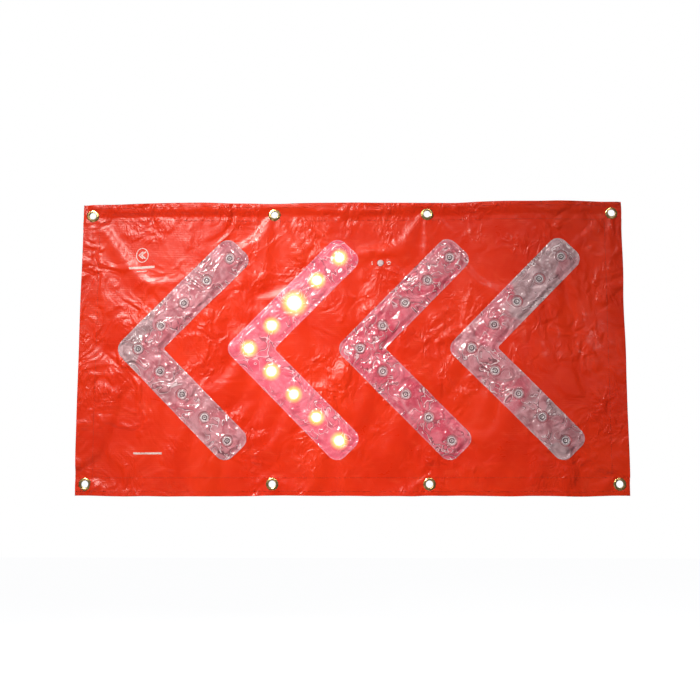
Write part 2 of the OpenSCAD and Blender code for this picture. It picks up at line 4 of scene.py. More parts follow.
import bmesh
import bpy
import numpy as np
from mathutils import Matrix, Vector


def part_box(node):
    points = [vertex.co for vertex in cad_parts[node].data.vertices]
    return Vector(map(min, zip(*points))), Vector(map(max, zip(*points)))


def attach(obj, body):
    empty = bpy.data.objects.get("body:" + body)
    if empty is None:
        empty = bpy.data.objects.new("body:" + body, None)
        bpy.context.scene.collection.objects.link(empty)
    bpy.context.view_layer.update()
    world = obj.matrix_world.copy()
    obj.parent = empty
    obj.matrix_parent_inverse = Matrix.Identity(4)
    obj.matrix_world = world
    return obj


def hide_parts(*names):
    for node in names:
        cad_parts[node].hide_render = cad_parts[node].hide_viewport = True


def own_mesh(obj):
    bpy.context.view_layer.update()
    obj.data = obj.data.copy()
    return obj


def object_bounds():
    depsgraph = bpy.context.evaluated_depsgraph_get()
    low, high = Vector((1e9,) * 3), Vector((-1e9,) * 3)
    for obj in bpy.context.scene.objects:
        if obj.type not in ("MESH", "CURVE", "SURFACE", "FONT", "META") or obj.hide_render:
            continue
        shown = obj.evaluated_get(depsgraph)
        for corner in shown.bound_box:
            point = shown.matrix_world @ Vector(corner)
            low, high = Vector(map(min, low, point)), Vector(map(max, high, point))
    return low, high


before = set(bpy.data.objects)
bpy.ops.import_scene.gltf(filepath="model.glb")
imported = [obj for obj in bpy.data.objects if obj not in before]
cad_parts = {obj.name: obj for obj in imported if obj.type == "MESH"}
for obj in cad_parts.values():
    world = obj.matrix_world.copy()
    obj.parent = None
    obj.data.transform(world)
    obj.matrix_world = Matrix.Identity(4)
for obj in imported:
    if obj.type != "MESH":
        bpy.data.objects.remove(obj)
cadLow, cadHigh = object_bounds()
mm = 0.001

# camera, light and floor

cameraPlace = {
    "distance": 2.4,
    "azimuth": 1.43,
    "elevation": -7.23,
    "lens": 55.3,
    "sensor": 36,
    "clip": (0.05, 60),
    "target": (-1.44 * mm, 0, -6.36 * mm),
}


def makeCamera():
    data = bpy.data.cameras.new("camera")
    data.lens = cameraPlace["lens"]
    data.sensor_width = cameraPlace["sensor"]
    data.clip_start, data.clip_end = cameraPlace["clip"]
    camera = bpy.data.objects.new("camera", data)
    bpy.context.scene.collection.objects.link(camera)
    turn, lift = math.radians(cameraPlace["azimuth"]), math.radians(cameraPlace["elevation"])
    back = Vector((
        math.sin(turn) * math.cos(lift),
        -math.cos(turn) * math.cos(lift),
        math.sin(lift),
    ))
    camera.location = Vector(cameraPlace["target"]) + back * cameraPlace["distance"]
    camera.rotation_mode = "QUATERNION"
    camera.rotation_quaternion = (-back).to_track_quat("-Z", "Y")
    bpy.context.scene.camera = camera


# each light: place, aim, width, height, watts, spread in degrees and colour
softLights = {
    "keyLight": ((-0.95, -2.15, 1.45), (-0.1, 0, -0.13), 0.6, 0.45, 5.4, 44, (1.0, 0.955, 0.9)),
    "sideFill": ((-1.6, -1.8, 0.5), (0.0, 0, 0.0), 0.8, 0.8, 1.6, 180, (1.0, 0.97, 0.93)),
    "topGlint": ((0.65, -1.8, 1.35), (0.2, 0, 0.1), 0.3, 0.12, 3.2, 180, (1.0, 0.99, 0.97)),
    "lowFill": ((-0.9, -1.6, -1.0), (-0.1, 0, -0.05), 0.7, 0.5, 2.5, 180, (1.0, 0.96, 0.92)),
    "smallLeft": ((-0.5, -1.7, 0.75), (-0.25, 0, 0.0), 0.1, 0.1, 0.4, 180, (1.0, 1.0, 1.0)),
    "smallRight": ((0.9, -1.5, 0.25), (0.3, 0, 0.0), 0.1, 0.1, 0.5, 180, (1.0, 1.0, 1.0)),
    "backFill": ((0.9, 2.0, 1.3), (0, 0, 0), 0.8, 0.6, 34, 180, (1.0, 1.0, 1.0)),
    "backSide": ((-1.6, 1.4, 0.4), (0, 0, 0), 0.6, 0.9, 11, 180, (1.0, 0.99, 0.97)),
}


def makeLights():
    for name, (place, aim, width, height, watts, spread, colour) in softLights.items():
        data = bpy.data.lights.new(name, "AREA")
        data.shape, data.size, data.size_y = "RECTANGLE", width, height
        data.energy, data.color = watts, colour
        data.spread = math.radians(spread)
        light = bpy.data.objects.new(name, data)
        bpy.context.scene.collection.objects.link(light)
        light.location = place
        light.rotation_mode = "QUATERNION"
        light.rotation_quaternion = (Vector(aim) - Vector(place)).to_track_quat("-Z", "Y")
        light.visible_camera = False


class Wire:
    # an output socket; sums on it add Math nodes, and add() makes any other node
    def __init__(self, tree, socket=None):
        self.tree, self.socket = tree, socket

    def add(self, kind, settings=None, inputs=None, output=0):
        node = self.tree.nodes.new(kind)
        for name, value in (settings or {}).items():
            if name == "stops":
                ramp = node.color_ramp
                while len(ramp.elements) < len(value):
                    ramp.elements.new(0.5)
                for element, (place, colour) in zip(ramp.elements, value):
                    element.position, element.color = place, (*colour, 1)
            else:
                setattr(node, name, value)
        for name, value in (inputs or {}).items():
            if isinstance(value, Wire):
                self.tree.links.new(value.socket, node.inputs[name])
            else:
                node.inputs[name].default_value = value
        return Wire(self.tree, node.outputs[output])

    def math(self, operation, *values):
        return self.add("ShaderNodeMath", {"operation": operation}, dict(enumerate(values)))

    def __add__(self, other):
        return self.math("ADD", self, other)

    def __sub__(self, other):
        return self.math("SUBTRACT", self, other)

    def __rsub__(self, other):
        return self.math("SUBTRACT", other, self)

    def __mul__(self, other):
        return self.math("MULTIPLY", self, other)

    def __abs__(self):
        return self.math("ABSOLUTE", self)

    __radd__, __rmul__ = __add__, __mul__

    def highest(self, other):
        return self.math("MAXIMUM", self, other)

    def lowest(self, other):
        return self.math("MINIMUM", self, other)

    def wave(self, length):
        return self.math("SINE", self * (2 * math.pi / length))

    # 0 below start, 1 above end, smooth between; start may be the larger
    def ramp(self, start, end):
        inputs = {"Value": self, "From Min": start, "From Max": end}
        return self.add("ShaderNodeMapRange", {"interpolation_type": "SMOOTHSTEP"}, inputs)

    # this value picks between two colours
    def mix(self, first, second):
        pick = {0: self, 6: first, 7: second}
        pick = {k: (*v, 1) if isinstance(v, tuple) else v for k, v in pick.items()}
        return self.add("ShaderNodeMix", {"data_type": "RGBA"}, pick, 2)

    def axes(self):
        parts = self.add("ShaderNodeSeparateXYZ", None, {0: self})
        node = parts.socket.node
        return [Wire(self.tree, out) for out in node.outputs]

    def stretch(self, x, y, z):
        return self.add("ShaderNodeVectorMath", {"operation": "MULTIPLY"}, {0: self, 1: (x, y, z)})

    def noise(self, size, detail=3.0, rough=0.55, warp=0.0):
        inputs = {
            "Vector": self, "Scale": 1 / size, "Detail": detail,
            "Roughness": rough, "Distortion": warp,
        }
        return self.add("ShaderNodeTexNoise", None, inputs, "Fac")

    def cells(self, size, feature="F1"):
        inputs = {"Vector": self, "Scale": 1 / size}
        return self.add("ShaderNodeTexVoronoi", {"feature": feature}, inputs, "Distance")

    def place(self):
        return self.add("ShaderNodeTexCoord", None, None, "Object")

    def attribute(self, name):
        return self.add("ShaderNodeAttribute", {"attribute_name": name}, None, "Fac")

    def bump(self, height, distance, strength=1.0, under=None):
        inputs = {"Height": height, "Distance": distance, "Strength": strength}
        if under is not None:
            inputs["Normal"] = under
        return self.add("ShaderNodeBump", None, inputs, "Normal")


# a material whose shader sockets come from paint(wire)
def finishOf(name, paint):
    material = bpy.data.materials.new(name)
    material.use_nodes = True
    tree = material.node_tree
    shader = tree.nodes["Principled BSDF"]
    for socket, value in paint(Wire(tree)).items():
        if isinstance(value, Wire):
            tree.links.new(value.socket, shader.inputs[socket])
        elif isinstance(value, tuple):
            shader.inputs[socket].default_value = (*value, 1)
        else:
            shader.inputs[socket].default_value = value
    return material


world = {"seen": (1.0, 1.0, 1.0), "cast": (0.42, 0.43, 0.46), "strength": 0.3}


def makeWorld():
    sky = bpy.data.worlds.new("studio")
    bpy.context.scene.world = sky
    sky.use_nodes = True
    tree = sky.node_tree
    background = tree.nodes["Background"]
    wire = Wire(tree)
    seen = wire.add("ShaderNodeLightPath", None, None, "Is Camera Ray")
    dim = tuple(c * world["strength"] for c in world["cast"])
    tree.links.new(seen.mix(dim, world["seen"]).socket, background.inputs["Color"])


floor = {
    "drop": 0.72,       # below the banner
    "reach": 9.0,
    "colour": (0.62, 0.62, 0.62),
    "grain": (0.58, 0.58, 0.58),
    "seen": (0.9, 0.9, 0.9),
    "glow": 1.0,
}


def makeFloor():
    z = cadLow.z - floor["drop"]
    side = floor["reach"]
    mesh = bpy.data.meshes.new("floor")
    corners = [(-side, -side, z), (side, -side, z), (side, side, z), (-side, side, z)]
    mesh.from_pydata(corners, [], [(0, 1, 2, 3)])
    obj = bpy.data.objects.new("floor", mesh)
    bpy.context.scene.collection.objects.link(obj)

    def paint(wire):
        grain = wire.place().noise(0.4)
        seen = wire.add("ShaderNodeLightPath", None, None, "Is Camera Ray")
        return {
            "Base Color": grain.mix(floor["grain"], floor["colour"]),
            "Emission Color": seen.mix((0.0, 0.0, 0.0), floor["seen"]),
            "Emission Strength": floor["glow"],
            "Roughness": 0.9,
        }

    mesh.materials.append(finishOf("paleFloor", paint))


makeCamera()
makeLights()
makeWorld()
makeFloor()
scene = bpy.context.scene
scene.view_settings.view_transform = "Standard"
scene.view_settings.look = "None"
print("camera, light and floor made")

# the sheet's shape, shared by everything on it

banner = {
    "hem": 39 * mm,             # seam to the edge
    "outerSeam": 9 * mm,        # second seam on the top and bottom hems
    "leftBulge": 9 * mm,
    "rightBulge": 11 * mm,
    "bayFlat": 18 * mm,
    "waveFacets": 30,
    "eyeletX": 588 * mm,
    "innerEyeletX": 173 * mm,
    "eyeletZ": 303.5 * mm,
    "buttonX": 67 * mm,
    "buttonZ": 191 * mm,
}
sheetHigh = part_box("front_sheet")[1]
halfW, halfH = sheetHigh[0], sheetHigh[2]
bays = (
    (-banner["eyeletX"], -banner["innerEyeletX"], banner["leftBulge"]),
    (banner["innerEyeletX"], banner["eyeletX"], banner["rightBulge"]),
)
eyeletColumns = [s * banner[k] for k in ("eyeletX", "innerEyeletX") for s in (-1, 1)]
eyelets = [(x, s * banner["eyeletZ"]) for x in eyeletColumns for s in (-1, 1)]
buttonPlace = (banner["buttonX"], banner["buttonZ"])

chevron = {
    "count": 4,
    "ledsPerArm": 4,
    "ledPitch": 72 * mm,
    "armAngle": math.radians(45.5),
    "pitch": 248 * mm,
    "firstX": -475 * mm,
    "z": -3 * mm,
    "armWidth": 81 * mm,
    "pastLastLed": 34 * mm,
    "cornerR": 24 * mm,
    "innerR": 6 * mm,
    "weld": 7 * mm,
    "lit": 2,
}
armRun = np.array([math.cos(chevron["armAngle"]), math.sin(chevron["armAngle"])])


def apexX(n):
    return chevron["firstX"] + (n - 1) * chevron["pitch"]


# LED places of chevron n: the apex, then out along the upper and the lower arm
def ledPlaces(n):
    places = [(apexX(n), chevron["z"])]
    for side in (1, -1):
        for i in range(1, chevron["ledsPerArm"] + 1):
            along = i * chevron["ledPitch"] * armRun
            places.append((apexX(n) + along[0], chevron["z"] + side * along[1]))
    return places


allLeds = [place for n in range(1, chevron["count"] + 1) for place in ledPlaces(n)]


# the sheet's wave without its wrinkles, in the same facets as the CAD sheet
def faceY(x):
    x = np.asarray(x, float)
    y = np.zeros_like(x)
    for start, end, height in bays:
        first, last = start + banner["bayFlat"], end - banner["bayFlat"]
        stops = np.linspace(first, last, banner["waveFacets"] + 1)
        y -= np.interp(x, stops, height * np.sin(np.pi * (stops - first) / (last - first)) ** 2)
    return y


# smooth random field from -1 to 1 whose lumps are about cell wide
def lumps(x, z, cell, seed):
    rng = np.random.default_rng(seed)
    table = rng.uniform(-1, 1, (96, 96))
    turn = rng.uniform(0, math.pi)
    u = (x * math.cos(turn) + z * math.sin(turn)) / cell + rng.uniform(20, 60)
    v = (z * math.cos(turn) - x * math.sin(turn)) / cell + rng.uniform(20, 60)
    i, j = np.floor(u).astype(int), np.floor(v).astype(int)
    p, q = u - i, v - j
    p, q = (t * t * t * (t * (6 * t - 15) + 10) for t in (p, q))
    near = table[i % 96, j % 96] * (1 - p) + table[(i + 1) % 96, j % 96] * p
    far = table[i % 96, (j + 1) % 96] * (1 - p) + table[(i + 1) % 96, (j + 1) % 96] * p
    return near * (1 - q) + far * q


def smooth(t):
    t = np.clip(t, 0, 1)
    return t * t * (3 - 2 * t)


# shortest distance from every (x, z) to a list of places
def nearest(x, z, places):
    best = np.full(np.shape(x), 1e9)
    for px, pz in places:
        best = np.minimum(best, np.hypot(x - px, z - pz))
    return best


# a grid of values over a rectangle, read between its points with a cubic
class Field:
    def __init__(self, values, low, high):
        self.values, self.low, self.high = values, low, high

    def at(self, x, z):
        rows, columns = self.values.shape
        u = (np.asarray(x) - self.low[0]) / (self.high[0] - self.low[0]) * (columns - 1)
        v = (np.asarray(z) - self.low[1]) / (self.high[1] - self.low[1]) * (rows - 1)
        i, j = np.floor(u).astype(int), np.floor(v).astype(int)
        across, up = self.weights(u - i), self.weights(v - j)
        total = np.zeros(np.shape(u))
        for b in range(4):
            row = np.clip(j + b - 1, 0, rows - 1)
            for a in range(4):
                column = np.clip(i + a - 1, 0, columns - 1)
                total = total + self.values[row, column] * across[a] * up[b]
        return total

    def weights(self, t):
        return (
            -0.5 * t + t * t - 0.5 * t**3,
            1 - 2.5 * t * t + 1.5 * t**3,
            0.5 * t + 2 * t * t - 1.5 * t**3,
            -0.5 * t * t + 0.5 * t**3,
        )


def gridFaces(rows, columns):
    index = np.arange(rows * columns).reshape(rows, columns)
    corners = (index[:-1, :-1], index[:-1, 1:], index[1:, 1:], index[1:, :-1])
    return np.stack([c.ravel() for c in corners], axis=1)


# a piece from points and faces, with its material, body and any values kept on its points
def piece(name, points, faces, material=None, body="banner", values=None, slot=None):
    mesh = bpy.data.meshes.new(name)
    mesh.from_pydata(np.asarray(points).tolist(), [], [tuple(int(i) for i in f) for f in faces])
    mesh.polygons.foreach_set("use_smooth", [True] * len(mesh.polygons))
    for key, data in (values or {}).items():
        data = np.asarray(data, np.float32)
        kind = "FLOAT" if data.ndim == 1 else "FLOAT_VECTOR"
        layer = mesh.attributes.new(key, kind, "POINT")
        layer.data.foreach_set("value" if data.ndim == 1 else "vector", data.ravel())
    mesh.update()
    obj = bpy.data.objects.new(name, mesh)
    bpy.context.scene.collection.objects.link(obj)
    if material:
        mesh.materials.append(material)
    if body:
        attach(obj, body)
    return obj


# a piece from a grid of points
def gridPiece(name, grid, *settings, **more):
    return piece(name, grid.reshape(-1, 3), gridFaces(*grid.shape[:2]), *settings, **more)


# faces of a closed tube whose rings follow each other in its points
def tubeFaces(rings, sides, base=0):
    faces = []
    for i in range(rings - 1):
        for k in range(sides):
            a, b = base + i * sides + k, base + i * sides + (k + 1) % sides
            faces.append((a, b, b + sides, a + sides))
    last = base + (rings - 1) * sides
    return faces + [tuple(range(base + sides - 1, base - 1, -1)), tuple(range(last, last + sides))]


drape = {
    "step": 9.0 * mm,
    "frames": 42,
    "growth": 0.0042,       # spare cloth between the places that hold it
    "sag": 0.35,            # share of gravity
    "bend": 1.2,
    "pull": 30,
    "shear": 0.6,           # share of the pull
    "mass": 0.2,
    "damping": 12,
    "air": 3,
    "quality": 6,
    "start": 0.25 * mm,     # unevenness that it buckles from
    "startCell": 60 * mm,
    "seed": 7,
    "frontCap": 3.2 * mm,
    "backCap": 1.9 * mm,
    "heldR": {"led": 12.5 * mm, "eyelet": 14 * mm, "button": 16 * mm},
    "flatHalf": (38 * mm, 29 * mm),     # kept off the flasher's case behind the button
    "flatEdge": 16 * mm,
}


# lets a sheet buckle between the points that hold it; gives how far each point moved in Y
def buckle(x, z, y, held):
    start = y + drape["start"] * lumps(x, z, drape["startCell"], drape["seed"])
    start = np.where(held, y, start)
    obj = gridPiece("sheetCloth", np.stack([x, start, z], axis=-1), body=None)
    pins = obj.vertex_groups.new(name="held")
    pins.add([int(i) for i in np.flatnonzero(held.ravel())], 1.0, "REPLACE")
    modifier = obj.modifiers.new("cloth", "CLOTH")
    cloth = modifier.settings
    cloth.quality, cloth.mass = drape["quality"], drape["mass"]
    cloth.tension_stiffness = cloth.compression_stiffness = drape["pull"]
    cloth.shear_stiffness = drape["pull"] * drape["shear"]
    cloth.bending_stiffness = drape["bend"]
    cloth.tension_damping = cloth.compression_damping = drape["damping"]
    cloth.air_damping = drape["air"]
    cloth.vertex_group_mass = "held"
    cloth.shrink_min = -drape["growth"]
    cloth.effector_weights.gravity = drape["sag"]
    modifier.collision_settings.use_collision = False
    modifier.point_cache.frame_start, modifier.point_cache.frame_end = 1, drape["frames"]
    for number in range(1, drape["frames"] + 1):
        scene.frame_set(number)
    graph = bpy.context.evaluated_depsgraph_get()
    moved = obj.evaluated_get(graph).to_mesh()
    flat = np.empty(x.size * 3, np.float32)
    moved.vertices.foreach_get("co", flat)
    scene.frame_set(1)
    bpy.data.objects.remove(obj)
    return flat.reshape(*x.shape, 3)[:, :, 1] - y


def sheetWrinkles():
    step = drape["step"]
    columns, rows = round(2 * halfW / step) + 1, round(2 * halfH / step) + 1
    x, z = np.meshgrid(np.linspace(-halfW, halfW, columns), np.linspace(-halfH, halfH, rows))
    low, high = (-halfW, -halfH), (halfW, halfH)
    held = np.zeros(x.shape, bool)
    for kind, places in (("led", allLeds), ("eyelet", eyelets), ("button", [buttonPlace])):
        held |= nearest(x, z, places) < drape["heldR"][kind]
    move = buckle(x, z, faceY(x), held)
    cap = np.where(move < 0, drape["frontCap"], drape["backCap"])
    move = cap * np.tanh(move / cap)
    flatX, flatZ = drape["flatHalf"]
    aside = np.maximum(np.abs(x - banner["buttonX"]) - flatX, np.abs(z - banner["buttonZ"]) - flatZ)
    return Field(np.where(move > 0, move * smooth(aside / drape["flatEdge"]), move), low, high)


wrinkles = sheetWrinkles()
print("sheet draped, wrinkles", round(float(np.ptp(wrinkles.values)) / mm, 1), "mm deep")


gather = {"height": 0.45 * mm, "cell": 11 * mm, "reach": 15 * mm, "clearR": 12 * mm, "fade": 10 * mm}


# small gathers that the seams pull into the sheet
def puckers(x, z):
    total = np.zeros(np.shape(x))
    for along, across, half in ((x, z, halfH), (z, x, halfW)):
        for side in (-1, 1):
            gap = half - side * across
            near = np.exp(-(((gap - banner["hem"]) / gather["reach"]) ** 2))
            total += near * lumps(along, gap * 0.35, gather["cell"], 30 + side)
    return gather["height"] * total


def sheetY(x, z):
    free = smooth((nearest(x, z, allLeds + eyelets) - gather["clearR"]) / gather["fade"])
    return faceY(x) + wrinkles.at(x, z) + puckers(x, z) * free


sheetEdge = {
    "reachX": 40 * mm,
    "reachZ": 36 * mm,
    "bow": 1.6 * mm,            # how far the long edges bow out between the eyelets
    "bowLength": 415 * mm,
    "unevenX": 1.0 * mm,
    "unevenZ": 1.1 * mm,
    "drawIn": 0.6 * mm,
    "eyeletR": 15 * mm,
    "eyeletFade": 30 * mm,
}


# how far a point moves within the sheet's own plane, so that the edges aren't ruled straight
def edgeMove(x, z):
    reachX, reachZ = sheetEdge["reachX"], sheetEdge["reachZ"]
    near = smooth((nearest(x, z, eyelets) - sheetEdge["eyeletR"]) / sheetEdge["eyeletFade"])
    up = smooth((np.abs(z) - (halfH - reachZ)) / reachZ)
    out = smooth((np.abs(x) - (halfW - reachX)) / reachX)
    bow = np.abs(np.sin(np.pi * (x + banner["innerEyeletX"]) / sheetEdge["bowLength"]))
    long = sheetEdge["bow"] * bow + sheetEdge["unevenZ"] * lumps(x, z * 0.2, 70 * mm, 51)
    short = sheetEdge["unevenX"] * lumps(z, x * 0.2, 80 * mm, 52) - sheetEdge["drawIn"]
    return np.sign(x) * out * short * near, np.sign(z) * up * near * long


# every point of the sheet, a depth behind its front face
def onSheet(x, z, depth=0.0):
    moveX, moveZ = edgeMove(x, z)
    return np.stack([x + moveX, sheetY(x, z) + depth, z + moveZ], axis=-1)


# signed distance to a closed outline, above 0 inside it
def insideBy(x, z, outline):
    shape = np.shape(x)
    points = np.stack([np.ravel(x), np.ravel(z)], axis=1)
    best = np.full(len(points), 1e9)
    inside = np.zeros(len(points), bool)
    for start, end in zip(outline, np.roll(outline, -1, axis=0)):
        run = end - start
        along = np.clip(((points - start) @ run) / (run @ run), 0, 1)
        gap = np.hypot(*(points - start - along[:, None] * run).T)
        best = np.minimum(best, gap)
        if start[1] != end[1]:
            spans = (start[1] > points[:, 1]) != (end[1] > points[:, 1])
            cross = start[0] + (points[:, 1] - start[1]) * run[0] / run[1]
            inside ^= spans & (points[:, 0] < cross)
    return np.where(inside, best, -best).reshape(shape)


# the outline's corners rounded with arcs
def rounded(corners, radii, steps=9):
    made = []
    for i, (tip, radius) in enumerate(zip(corners, radii)):
        before, after = corners[i - 1] - tip, corners[(i + 1) % len(corners)] - tip
        before, after = before / np.hypot(*before), after / np.hypot(*after)
        half = math.acos(float(np.clip(before @ after, -1, 1))) / 2
        middle = before + after
        centre = tip + middle / np.hypot(*middle) * radius / math.sin(half)
        first = tip + before * radius / math.tan(half) - centre
        last = tip + after * radius / math.tan(half) - centre
        turn = math.atan2(first[0] * last[1] - first[1] * last[0], float(first @ last))
        for t in np.linspace(0, turn, steps):
            spun = (
                first[0] * math.cos(t) - first[1] * math.sin(t),
                first[0] * math.sin(t) + first[1] * math.cos(t),
            )
            made.append(centre + spun)
    return np.array(made)


# outline of the clear film over chevron n
def chevronOutline(n):
    half = chevron["armWidth"] / 2
    end = chevron["ledsPerArm"] * chevron["ledPitch"] + chevron["pastLastLed"]
    across = np.array([-armRun[1], armRun[0]])
    mitre = half / armRun[1]
    upper = [np.array([-mitre, 0]), end * armRun + half * across, end * armRun - half * across]
    notch = np.array([mitre, 0])
    flip = np.array([1, -1])
    corners = upper + [notch] + [upper[2] * flip, upper[1] * flip]
    big, small = chevron["cornerR"], chevron["innerR"]
    place = np.array([apexX(n), chevron["z"]])
    return rounded([c + place for c in corners], [big, big, big, small, big, big])


outlines = {n: chevronOutline(n) for n in range(1, chevron["count"] + 1)}


# keeps the part of a grid where gap(x, z) is above 0, with the points beside the cut moved onto it
def trimmed(x, z, gap, step):
    d = gap(x, z)
    small = step / 20
    for _ in range(2):
        slopeX = (gap(x + small, z) - gap(x - small, z)) / (2 * small)
        slopeZ = (gap(x, z + small) - gap(x, z - small)) / (2 * small)
        steep = np.maximum(slopeX**2 + slopeZ**2, 0.25)
        close = np.abs(d) < 0.52 * step
        x = np.where(close, x - d * slopeX / steep, x)
        z = np.where(close, z - d * slopeZ / steep, z)
        d = gap(x, z)
        if not (np.abs(d[close]) > step / 50).any():
            break
    keep = (np.where(np.abs(d) < small, 0.0, d) >= 0).ravel()
    quads = gridFaces(*x.shape)
    count = keep[quads].sum(axis=1)
    faces = [tuple(q) for q in quads[count == 4]]
    faces += [tuple(i for i in q if keep[i]) for q in quads[count == 3]]
    used = np.unique(np.concatenate([np.ravel(f) for f in faces]))
    order = np.full(x.size, -1)
    order[used] = np.arange(len(used))
    faces = [tuple(order[list(f)]) for f in faces]
    return x.ravel()[used], z.ravel()[used], faces


def gridOver(lowX, highX, lowZ, highZ, step):
    columns = round((highX - lowX) / step) + 1
    rows = round((highZ - lowZ) / step) + 1
    return np.meshgrid(np.linspace(lowX, highX, columns), np.linspace(lowZ, highZ, rows))


# vinyl: the front sheet, its hems and their stitches

vinyl = {
    "step": 3.4 * mm,
    "colour": (0.87, 0.037, 0.004),
    "deep": (0.77, 0.025, 0.003),
    # paler colour painted on scuffed patches: partly scuffing, partly a painted sheen
    "pale": (0.90, 0.056, 0.011),
    "gloss": 0.29,
    "back": (0.78, 0.06, 0.018),
    "backDeep": (0.62, 0.035, 0.01),
    "backGloss": 0.42,
    "rib": 4.1 * mm,
    "eyeletHole": 9.3 * mm,
    "ledHole": 7.4 * mm,
    "buttonHole": 7.9 * mm,
    "fold": 1.32 * mm,
    "backing": 0.55 * mm,       # thickness of the cloth behind
}


# coated fabric: ribs of the scrim show through the coating, over soft creases from handling; scuffed
# patches are painted paler, which is real scuffing and also a painted sheen
def vinylPaint(colour, deep, pale, rough):
    def paint(wire):
        place = wire.place()
        x, y, z = place.axes()
        stain = place.noise(0.16, 4, 0.6, 0.5)
        scuffAndSheen = place.stretch(1, 1, 2.0).noise(0.045, 4, 0.62, 0.8)
        fold = abs(place.noise(0.075, 2, 0.45, 1.1) * 2 - 1)
        crumple = abs(place.stretch(1, 1, 0.7).noise(0.024, 3, 0.5, 0.9) * 2 - 1)
        busy = place.noise(0.13, 2).ramp(0.45, 0.62)
        fine = place.noise(0.0016, 2)
        rib = z.wave(vinyl["rib"]) * 0.5 + x.wave(vinyl["rib"] * 0.8) * 0.15
        tone = stain.ramp(0.3, 0.75).mix(deep, colour)
        # scuffed patches are painted paler, a painted sheen over real scuffing; the scrim's ribs lighten
        # it a little
        tone = (scuffAndSheen.ramp(0.5, 0.8) * 0.6 + rib * 0.12).lowest(1).highest(0).mix(tone, pale)
        loose = (busy * 0.6 + abs(x).ramp(0.36, 0.56) * 0.5 + 0.25).lowest(1)
        normal = place.bump(fold.ramp(0.0, 0.5) * loose, 0.0042, 0.7)
        normal = place.bump(crumple.ramp(0.0, 0.4) * (0.1 + busy * 0.9), 0.0013, 0.75, normal)
        normal = place.bump(rib * scuffAndSheen.ramp(0.3, 0.7) + fine * 0.3, 0.00013, 0.9, normal)
        return {
            "Base Color": tone,
            "Roughness": scuffAndSheen * 0.16 + stain * 0.1 + (rough - 0.11),
            "Normal": normal,
            "Specular IOR Level": 0.3,
            "Coat Weight": scuffAndSheen.ramp(0.46, 0.68) * 0.28,
            "Coat Roughness": 0.15,
        }
    return paint


backPaint = vinylPaint(vinyl["back"], vinyl["backDeep"], vinyl["pale"], vinyl["backGloss"])
backVinyl = finishOf("linerVinyl", backPaint)


# the print under the windows, pink where the orange shows through it
def sheetPaint(wire):
    made = vinylPaint(vinyl["colour"], vinyl["deep"], vinyl["pale"], vinyl["gloss"])(wire)
    window = wire.attribute("window").ramp(0.0, 0.6 * mm)
    silver = wire.place().noise(0.02, 4).ramp(0.3, 0.7)
    made["Base Color"] = window.mix(made["Base Color"], silver.mix((0.8, 0.13, 0.16), (0.8, 0.3, 0.32)))
    return made


frontFinish = finishOf("orangeVinylFront", sheetPaint)


def sheetHoles(x, z):
    gap = nearest(x, z, eyelets) - vinyl["eyeletHole"]
    gap = np.minimum(gap, nearest(x, z, allLeds) - vinyl["ledHole"])
    button = nearest(x, z, [buttonPlace]) - vinyl["buttonHole"]
    return np.minimum(gap, button)


def makeFrontSheet():
    x, z = gridOver(-halfW, halfW, -halfH, halfH, vinyl["step"])
    x, z, faces = trimmed(x, z, sheetHoles, vinyl["step"])
    window = np.full(len(x), -1.0)
    for outline in outlines.values():
        low, high = outline.min(0) - 10 * mm, outline.max(0) + 10 * mm
        near = (x > low[0]) & (x < high[0]) & (z > low[1]) & (z < high[1])
        window[near] = np.maximum(window[near], insideBy(x[near], z[near], outline) - 2 * mm)
    sheet = piece(
        "frontSheet", onSheet(x, z), faces, frontFinish, values={"window": window},
        slot="orange_vinyl",
    )
    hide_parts("front_sheet")
    return sheet


# a strip from the sheet's edge round the fold and back along the inside
def makeHem(name, node, along, place):
    fold = vinyl["fold"]
    across = np.concatenate([
        np.linspace(0, 1, 7) * math.pi * fold / 2,
        math.pi * fold / 2 + np.linspace(0, 1, 12)[1:] * (banner["hem"] - fold / 2),
    ])
    turn = np.clip(across / (math.pi * fold / 2), 0, 1) * math.pi
    inward = np.maximum(across - math.pi * fold / 2, 0)
    s, t = np.meshgrid(along, np.arange(len(across)))
    behind = (1 - np.cos(turn[t])) * fold / 2
    inset = inward[t] - np.sin(turn[t]) * fold / 2
    x, z = place(s, np.maximum(inset, 0))
    points = onSheet(x, z, behind + 0.05 * mm * lumps(x, z, 25 * mm, 61))
    past = np.minimum(inset, 0)
    points[..., 0] -= past * np.sign(x) * (np.abs(x) >= halfW - 1e-6)
    points[..., 2] -= past * np.sign(z) * (np.abs(z) >= halfH - 1e-6)
    rest = np.stack([x.ravel(), z.ravel()], axis=1)
    clear = [f for f in gridFaces(*s.shape) if nearest(*rest[f].T, eyelets).min() > vinyl["eyeletHole"]]
    strip = piece(name, points.reshape(-1, 3), clear, backVinyl, slot="orange_vinyl")
    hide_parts(node)
    return strip


def makeHems():
    inner = halfH - banner["hem"]
    wide, tall = np.linspace(-halfW, halfW, 361), np.linspace(-inner, inner, 171)
    sides = {
        "Top": (wide, lambda s, inset: (s, halfH - inset)),
        "Bottom": (wide, lambda s, inset: (s, inset - halfH)),
        "Left": (tall, lambda s, inset: (inset - halfW, s)),
        "Right": (tall, lambda s, inset: (halfW - inset, s)),
    }
    return [makeHem("hem" + name, "hem_" + name.lower(), *side) for name, side in sides.items()]


thread = {
    "pitch": 4.2 * mm,
    "length": 3.3 * mm,
    "radius": 0.38 * mm,
    "sides": 5,
    "eyeletR": 15.5 * mm,
    "inset": 38.5 * mm,     # inner seam to the sheet's edge
    "end": 3 * mm,
    "front": -0.12 * mm,
    "back": 1.45 * mm,
}


